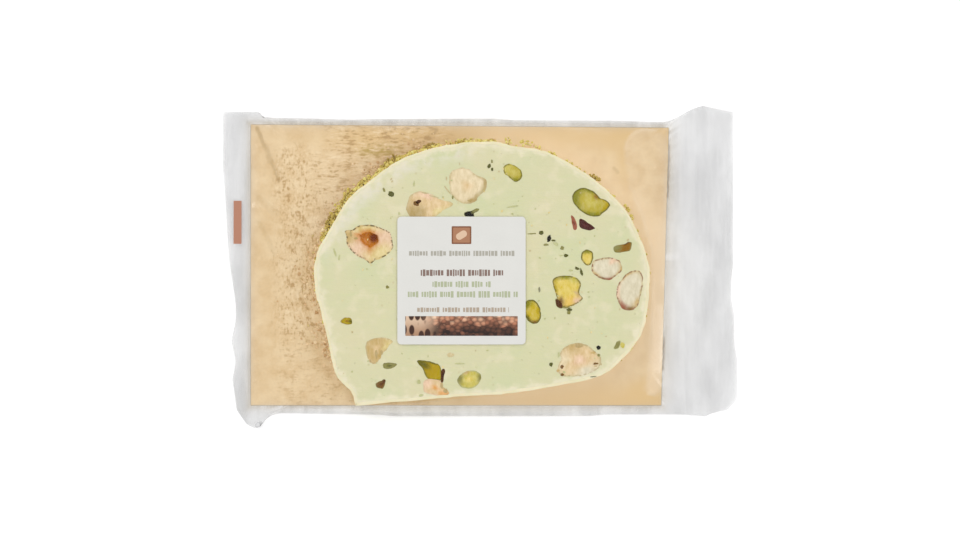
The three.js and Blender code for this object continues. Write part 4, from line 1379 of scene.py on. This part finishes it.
# Where the bag's long edges turn in beside its corners: the line that stays, the outer line, and
# how far that one moves at each x.
RIM_PULLS = [
    (61.4, 66.0, [(-94.8, 0.0), (-93.1, -1.4), (-91.4, -0.5), (-90.0, 0.0)]),
    (-59.6, -66.0, [(-95.8, 0.0), (-94.6, -1.0), (-92.9, 0.0), (-91.2, 0.6), (-89.0, 0.4), (-87.0, 0.0)]),
]
FILM_OFF_COAT = 1.0  # the film bends down this far outside the slice's edge
SEAL_THIN = 0.35  # how much of the solid's thickness the film's seals keep
SEAL_HALF = 0.3  # half of that thickness
FILM_MERGE = 0.002  # the bag's points that lie closer than this are one
FILM_CREASE = 55  # edges sharper than this stay sharp, in degrees
OUTLINE_TURN = 12  # and so do corners of the outline that turn by more than this
RIM_TILT = 0.3  # faces that turn up or down by less than this share are the film's rim


def ridge(places, start, end, half, rise):
    """Heights of one rounded fold that rises and dies out along its line."""
    a, b = np.array(start), np.array(end)
    line = b - a
    length = np.linalg.norm(line)
    away = places[:, :2] - a
    along = away @ line / length**2
    aside = (away[:, 0] * line[1] - away[:, 1] * line[0]) / length
    fade = np.sin(np.pi * np.clip(along, 0, 1))
    return rise * fade * np.exp(-((aside / half) ** 2))


def lifted_gap(places):
    """Distance from the strip where the film stands off the card, in millimetres: below 0 in it."""
    best = np.full(len(places), 99.0)
    for (a, half_a), (b, half_b) in zip(LIFTED, LIFTED[1:]):
        gap, along = off_stretch(places[:, :2], a, b)
        best = np.minimum(best, gap - (half_a + (half_b - half_a) * along))
    return best


def stands_off(gap):
    """1 in the strip where the film stands off the card, and 0 outside it."""
    return np.clip(0.5 - gap / 1.4, 0, 1)


def wrinkle_lines():
    """Fine tension wrinkles that run from the end seals towards the slice."""
    draw = np.random.default_rng(5)
    lines = []
    for _ in range(WRINKLES):
        left = draw.uniform() < 0.5
        x = SEAL_LEFT + 1 if left else SEAL_RIGHT - 1
        y = draw.uniform(-58, 60)
        reach = draw.uniform(6, 20) * (1 if left else -1)
        slant = -y * draw.uniform(0.0, 0.12)
        lines.append(((x, y), (x + reach, y + slant), draw.uniform(0.5, 1.1), draw.uniform(0.06, 0.2)))
    return lines


def smooth_bag():
    """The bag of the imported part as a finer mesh, smooth but for the corners of its outline."""
    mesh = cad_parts["bag"].data.copy()
    bag = bpy.data.objects.new("film", mesh)
    bag.data.name = "film"
    bpy.context.scene.collection.objects.link(bag)
    with bench(bag):
        bpy.ops.mesh.select_all(action="SELECT")
        bpy.ops.mesh.remove_doubles(threshold=FILM_MERGE * MM)
        bpy.ops.mesh.tris_convert_to_quads(face_threshold=math.radians(60), shape_threshold=math.radians(80))
    with bench(bag, "EDGE"):
        bpy.ops.mesh.edges_select_sharp(sharpness=math.radians(FILM_CREASE))
        bpy.ops.transform.edge_crease(value=1)
    with bench(bag, "VERT"):
        pick_turns(bag, OUTLINE_TURN)
        bpy.ops.transform.vert_crease(value=1)
    return modify(bag, "SUBSURF", levels=2, render_levels=2)


def film():
    """The film: the smooth bag with thin seals, folds, wrinkles and a loose stretch on the card. Its
    points say how it looks where.
    """
    bag = smooth_bag()
    places = points(bag)
    for stays, outer, moves in RIM_PULLS:
        share = np.clip((places[:, 1] - stays) / (outer - stays), 0, 1.3)
        places[:, 1] += share * np.interp(places[:, 0], *zip(*moves))
    in_seal = np.clip(np.maximum(SEAL_LEFT - places[:, 0], places[:, 0] - SEAL_RIGHT) / 1.0 + 0.5, 0, 1)
    up = tilt(bag)
    side = np.where(np.abs(up) > RIM_TILT, np.sign(up), 0)  # 1 above, -1 below, 0 on the rim
    places[:, 2] -= in_seal * SEAL_HALF * side * (1 - SEAL_THIN)
    relief = sum(ridge(places, *line) for line in FOLDS + wrinkle_lines())
    # 1 where the film lies on the card or slopes down to it, 0 over the slice and in the seals
    on_card = np.clip((FILM_TOP - 0.35 - places[:, 2]) / 1.5, 0, 1) * (1 - in_seal)
    places[:, 2] += (side > 0) * on_card * (relief + LIFT * stands_off(lifted_gap(places)))
    over_slice = FILM_TOP - 0.05 - 6 * np.clip(edge_gap(places) - FILM_OFF_COAT, 0, None)
    places[:, 2] = np.where(side > 0, np.maximum(places[:, 2], over_slice), places[:, 2])
    move_points(bag, places)
    for name, values in zip(FILM_MARKS, film_marks(places, up, in_seal, on_card)):
        mark_points(bag, name, np.clip(values, 0, 1))
    take(bag)
    bpy.ops.object.shade_smooth_by_angle(angle=math.radians(45))
    return finish_with(bag, film_finish())


def film_marks(places, up, in_seal, on_card):
    """How grey, how much painted gilt reflection and shade, veiled, sealed and layered the film is at each
    place, from 0 to 1. It is greyest beyond the card, where it lies double. Beside the card's gilt it is
    warmer with painted reflection of the gold and painted shade, darker with painted shade just above the
    card's top edge, and paler with painted highlight along the lifted strip and painted sheen just inside
    the card's edges.
    """
    outside = outside_card(places)
    beyond = np.clip(outside / 0.8 + 0.6, 0, 1)
    gap = lifted_gap(places)
    rim_line = np.exp(-((rim_gap(places, np.abs(up) <= RIM_TILT) / 0.7) ** 2)) * beyond
    # Painted highlight: a paler line along the edge of the strip where the film stands off the card, and a
    # paler veil over that strip.
    lift_highlight = np.exp(-((gap / 0.6) ** 2)) * on_card * (1 - beyond)
    # Painted sheen: a paler veil on the film just inside the card's edges, where it bends over them.
    edge_sheen = np.exp(np.minimum(outside, 0) / 1.6) * (1 - beyond) * on_card
    edge_sheen *= 0.1 + 0.1 * soft_step(places[:, 1], -56, -46)
    # Painted reflection of the card's gold and painted shade, strongest right beside the card's edge.
    painted_gilt_shade = 0.8 * np.exp(-np.maximum(outside, 0) / 1.3) * beyond
    # Painted shade: a darker strip of film just above the card's top edge.
    top_edge_shade = soft_step(outside, 2.0, 1.4) * soft_step(places[:, 1], 60, 62) * beyond
    veil = (0.2 * beyond + 0.01 * in_seal + 0.05 * rim_line + 0.14 * painted_gilt_shade + 0.08 * top_edge_shade
            + (0.06 * lift_highlight + 0.03 * stands_off(gap) + edge_sheen) * (1 - beyond))
    lies_flat = np.clip(np.abs(up), 0, 1)
    veil *= 0.35 + 0.65 * lies_flat
    from_tip = np.hypot(places[:, 0] - LOBE_TIP[0], places[:, 1] - LOBE_TIP[1])
    layered = np.exp(-((from_tip / LOBE_REACH) ** 2))
    return beyond * lies_flat**2, painted_gilt_shade, veil, in_seal, layered


def pick_turns(piece, degrees):
    """Selects the vertices at which a creased line turns by more than these degrees, in edit mode."""
    mesh = bmesh.from_edit_mesh(piece.data)
    crease = mesh.edges.layers.float["crease_edge"]
    for vertex in mesh.verts:
        ways = [edge.other_vert(vertex).co - vertex.co for edge in vertex.link_edges if edge[crease] > 0.5]
        turns = len(ways) == 2 and ways[0].angle(ways[1]) < math.radians(180 - degrees)
        vertex.select_set(turns)
    bmesh.update_edit_mesh(piece.data)


def outside_card(places):
    """Distance of each place outside the card's edges as seen from above: below 0 on the card."""
    corners = np.array(CARD_CORNERS)
    ahead = np.roll(corners, -1, 0) - corners
    outward = np.stack([-ahead[:, 1], ahead[:, 0]], 1) / np.linalg.norm(ahead, axis=1)[:, None]
    return np.max([(places[:, :2] - a) @ out for a, out in zip(corners, outward)], axis=0)


def tilt(piece):
    """How far each point's side of a mesh faces up: 1 level, 0 upright and -1 underneath."""
    normals = np.empty(len(piece.data.vertices) * 3, np.float32)
    piece.data.vertices.foreach_get("normal", normals)
    return normals.reshape(-1, 3)[:, 2].astype(float)


def rim_gap(places, on_rim):
    """Distance of each point from the bag's rim as seen from above, in millimetres."""
    tree = KDTree(int(on_rim.sum()))
    for i, (x, y) in enumerate(places[on_rim, :2]):
        tree.insert((x, y, 0), i)
    tree.balance()
    return np.array([tree.find((x, y, 0))[2] for x, y in places[:, :2]])


# ---- the label's print -------------------------------------------------------------------------------------

PRINT_THICK = 0.03
LABEL_LOW, LABEL_HIGH = (Vector(corner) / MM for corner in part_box("label"))
LABEL_MIDDLE = (LABEL_LOW + LABEL_HIGH) / 2
BADGE = (0.0, 19.4)  # its place, measured from the label's middle
BAND_MIDDLE = (0.0, -19.4)
BAND_SIZE = (48.0, 8.4)
HEAP_FROM = (-18.0, -8.0)  # where along the band single kernels give way to a heap

# Rows of plain dashes where the label's lines are: middle height, width, dash height and ink.
DASH_ROWS = [
    (11.6, 47.0, 2.4, "grey_ink"),
    (3.3, 37.0, 3.0, "brown_ink"),
    (-1.6, 27.0, 2.8, "green_ink"),
    (-5.9, 48.0, 2.8, "green_ink"),
    (-12.5, 40.0, 2.2, "umber_ink"),
]
DASH_GAP = 0.34
GROUP_GAP = 1.1
INKS = {
    "grey_ink": ink(174, 170, 158),
    "brown_ink": ink(134, 112, 102),
    "green_ink": ink(178, 184, 152),
    "umber_ink": ink(178, 162, 144),
    "frame_ink": ink(132, 84, 56),
    "terracotta_ink": ink(172, 122, 90),
    "cream_ink": ink(222, 190, 160),
}


def patch(name, middle, size, level=0, turn=0.0, corner=0.0):
    """A flat printed patch on the label, lying on so many others. Its middle is measured from the
    label's middle.
    """
    bpy.ops.object.select_all(action="DESELECT")
    bpy.ops.mesh.primitive_plane_add(size=1)
    piece = named(name)
    base = LABEL_TOP + level * PRINT_THICK
    places = points(piece) * MM
    turned = math.radians(turn)
    x, y = places[:, 0] * size[0], places[:, 1] * size[1]
    across = x * math.cos(turned) - y * math.sin(turned) + LABEL_MIDDLE.x + middle[0]
    along = x * math.sin(turned) + y * math.cos(turned) + LABEL_MIDDLE.y + middle[1]
    move_points(piece, np.column_stack([across, along, np.full(4, base)]))
    with bench(piece, "VERT"):
        bpy.ops.mesh.select_all(action="SELECT")
        if corner:
            bpy.ops.mesh.bevel(offset=corner * MM, segments=5, affect="VERTICES")
    draw_up(piece, PRINT_THICK)
    return piece


def dashes():
    """Short strokes in groups, which stand for lines of small print without being letters."""
    draw = np.random.default_rng(12)
    by_ink = {}
    for height, width, tall, colour in DASH_ROWS:
        x = -width / 2
        left_in_group = 0
        while x < width / 2 - 0.8:
            if left_in_group == 0:
                left_in_group = int(draw.integers(4, 9))
                x += GROUP_GAP
            long = min(draw.uniform(0.5, 1.25), width / 2 - x)
            stroke = patch("dash", (x + long / 2, height), (long, tall * draw.uniform(0.7, 1.0)))
            by_ink.setdefault(colour, []).append(stroke)
            x += long + DASH_GAP
            left_in_group -= 1
    return [finish_with(join(f"print_{colour}", strokes), paper_finish(colour, INKS[colour]))
            for colour, strokes in by_ink.items()]


def badge():
    """A plain terracotta square in a darker frame, with one pale kernel."""
    layers = [("print_badge_frame", (8.4, 7.6), 0, 0.4, "frame_ink"),
              ("print_badge", (7.2, 6.4), 0, 0.3, "terracotta_ink"),
              ("print_badge_kernel", (5.0, 2.9), 32, 1.4, "cream_ink")]
    made = []
    for level, (name, size, turn, corner, colour) in enumerate(layers):
        layer = patch(name, BADGE, size, level, turn, corner)
        made.append(finish_with(layer, paper_finish(colour, INKS[colour])))
    return made


def band():
    """A printed strip of heaped kernels in warm browns."""
    return finish_with(patch("print_band", BAND_MIDDLE, BAND_SIZE, corner=0.2), heap_finish())


def heap_finish():
    """Print of a heap of kernels: warm above, dark along the bottom, and on the left single dark
    kernels on a pale ground.
    """
    made, nodes, shader = material("kernel_print", Specular_IOR_Level=0.4)
    place = nodes.place()
    split = nodes.add("ShaderNodeSeparateXYZ", {"Vector": place})
    cells = nodes.add("ShaderNodeTexVoronoi", {"Vector": nodes.stretched(place, (1, 1.3, 1), 24),
                                               "Scale": 1 / (2.1 * MM)})
    tones = nodes.add("ShaderNodeSeparateColor", {"Color": cells.outputs["Color"]}).outputs
    low, high = ((LABEL_MIDDLE.y + BAND_MIDDLE[1] + side * BAND_SIZE[1] / 2) * MM for side in (-1, 1))
    height = nodes.step(split.outputs["Y"], low, high, -0.3, 0.34)
    warmth = nodes.sum("ADD", nodes.sum("MULTIPLY_ADD", tones["Red"], 0.5, 0.18), height)
    kernels = nodes.ramp(warmth, [
        (0.0, ink(52, 28, 18)), (0.3, ink(112, 70, 50)), (0.55, ink(172, 112, 84)),
        (0.8, ink(206, 152, 120)), (1.0, ink(236, 200, 170))])
    rounded = nodes.step(cells.outputs["Distance"], 0.15, 0.75, 1.12, 0.4)
    heap = nodes.mix(1.0, kernels, nodes.grey(rounded), "MULTIPLY")
    large = nodes.add("ShaderNodeTexVoronoi", {"Vector": nodes.stretched(place, (1.5, 0.8, 1), -12),
                                               "Scale": 1 / (4.4 * MM), "Randomness": 0.6})
    whole = nodes.step(large.outputs["Distance"], 0.5, 0.36)
    ground = nodes.mix(nodes.step(split.outputs["Y"], low, high), ink(172, 132, 102), ink(220, 190, 162))
    apart = nodes.mix(whole, ground, ink(62, 32, 16))
    left = nodes.step(split.outputs["X"], *((LABEL_MIDDLE.x + x) * MM for x in HEAP_FROM), 1.0, 0.0)
    nodes.feed(shader.inputs["Base Color"], nodes.mix(left, heap, apart))
    nodes.feed(shader.inputs["Roughness"], nodes.sum("MULTIPLY_ADD", tones["Red"], 0.1, 0.45))
    return made


MARK_MIDDLE = (-104.2, 19.2)
MARK_SIZE = (3.4, 18.5)
MARK_THICK = 0.03
MARK_CLEAR = 0.02  # how far it lies over the film


def seal_mark(bag):
    """The small printed bar on the left end seal, laid on the film."""
    bpy.ops.object.select_all(action="DESELECT")
    bpy.ops.mesh.primitive_grid_add(x_subdivisions=6, y_subdivisions=30, size=1)
    mark = named("seal_mark")
    places = points(mark) * MM
    places = places * (*MARK_SIZE, 0) + (*MARK_MIDDLE, 0)
    skin = surface(bag)
    for place in places:
        place[2] = top_over(skin, place[0], place[1]) + MARK_CLEAR
    move_points(mark, places)
    modify(mark, "SOLIDIFY", thickness=MARK_THICK * MM, offset=1)
    return finish_with(mark, paper_finish("mark_ink", ink(182, 128, 104), 0.4))


# ---- putting it together ---------------------------------------------------------------------------------

studio()
bag_film = film()
pack = {
    "gold_card": [gold_card()],
    "nougat": [nougat()],
    "coating": [coating()],
    "nuts": [*all_nuts(), side_crumbs(bag_film), card_crumbs()],
    "film": [bag_film],
    "print": [*dashes(), *badge(), band(), seal_mark(bag_film)],
}
for slot_name, members in pack.items():
    for member in members:
        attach(member, "root")
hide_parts("bag")
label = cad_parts["label"]
finish_with(label, paper_finish("label_paper", ink(222, 221, 216)))
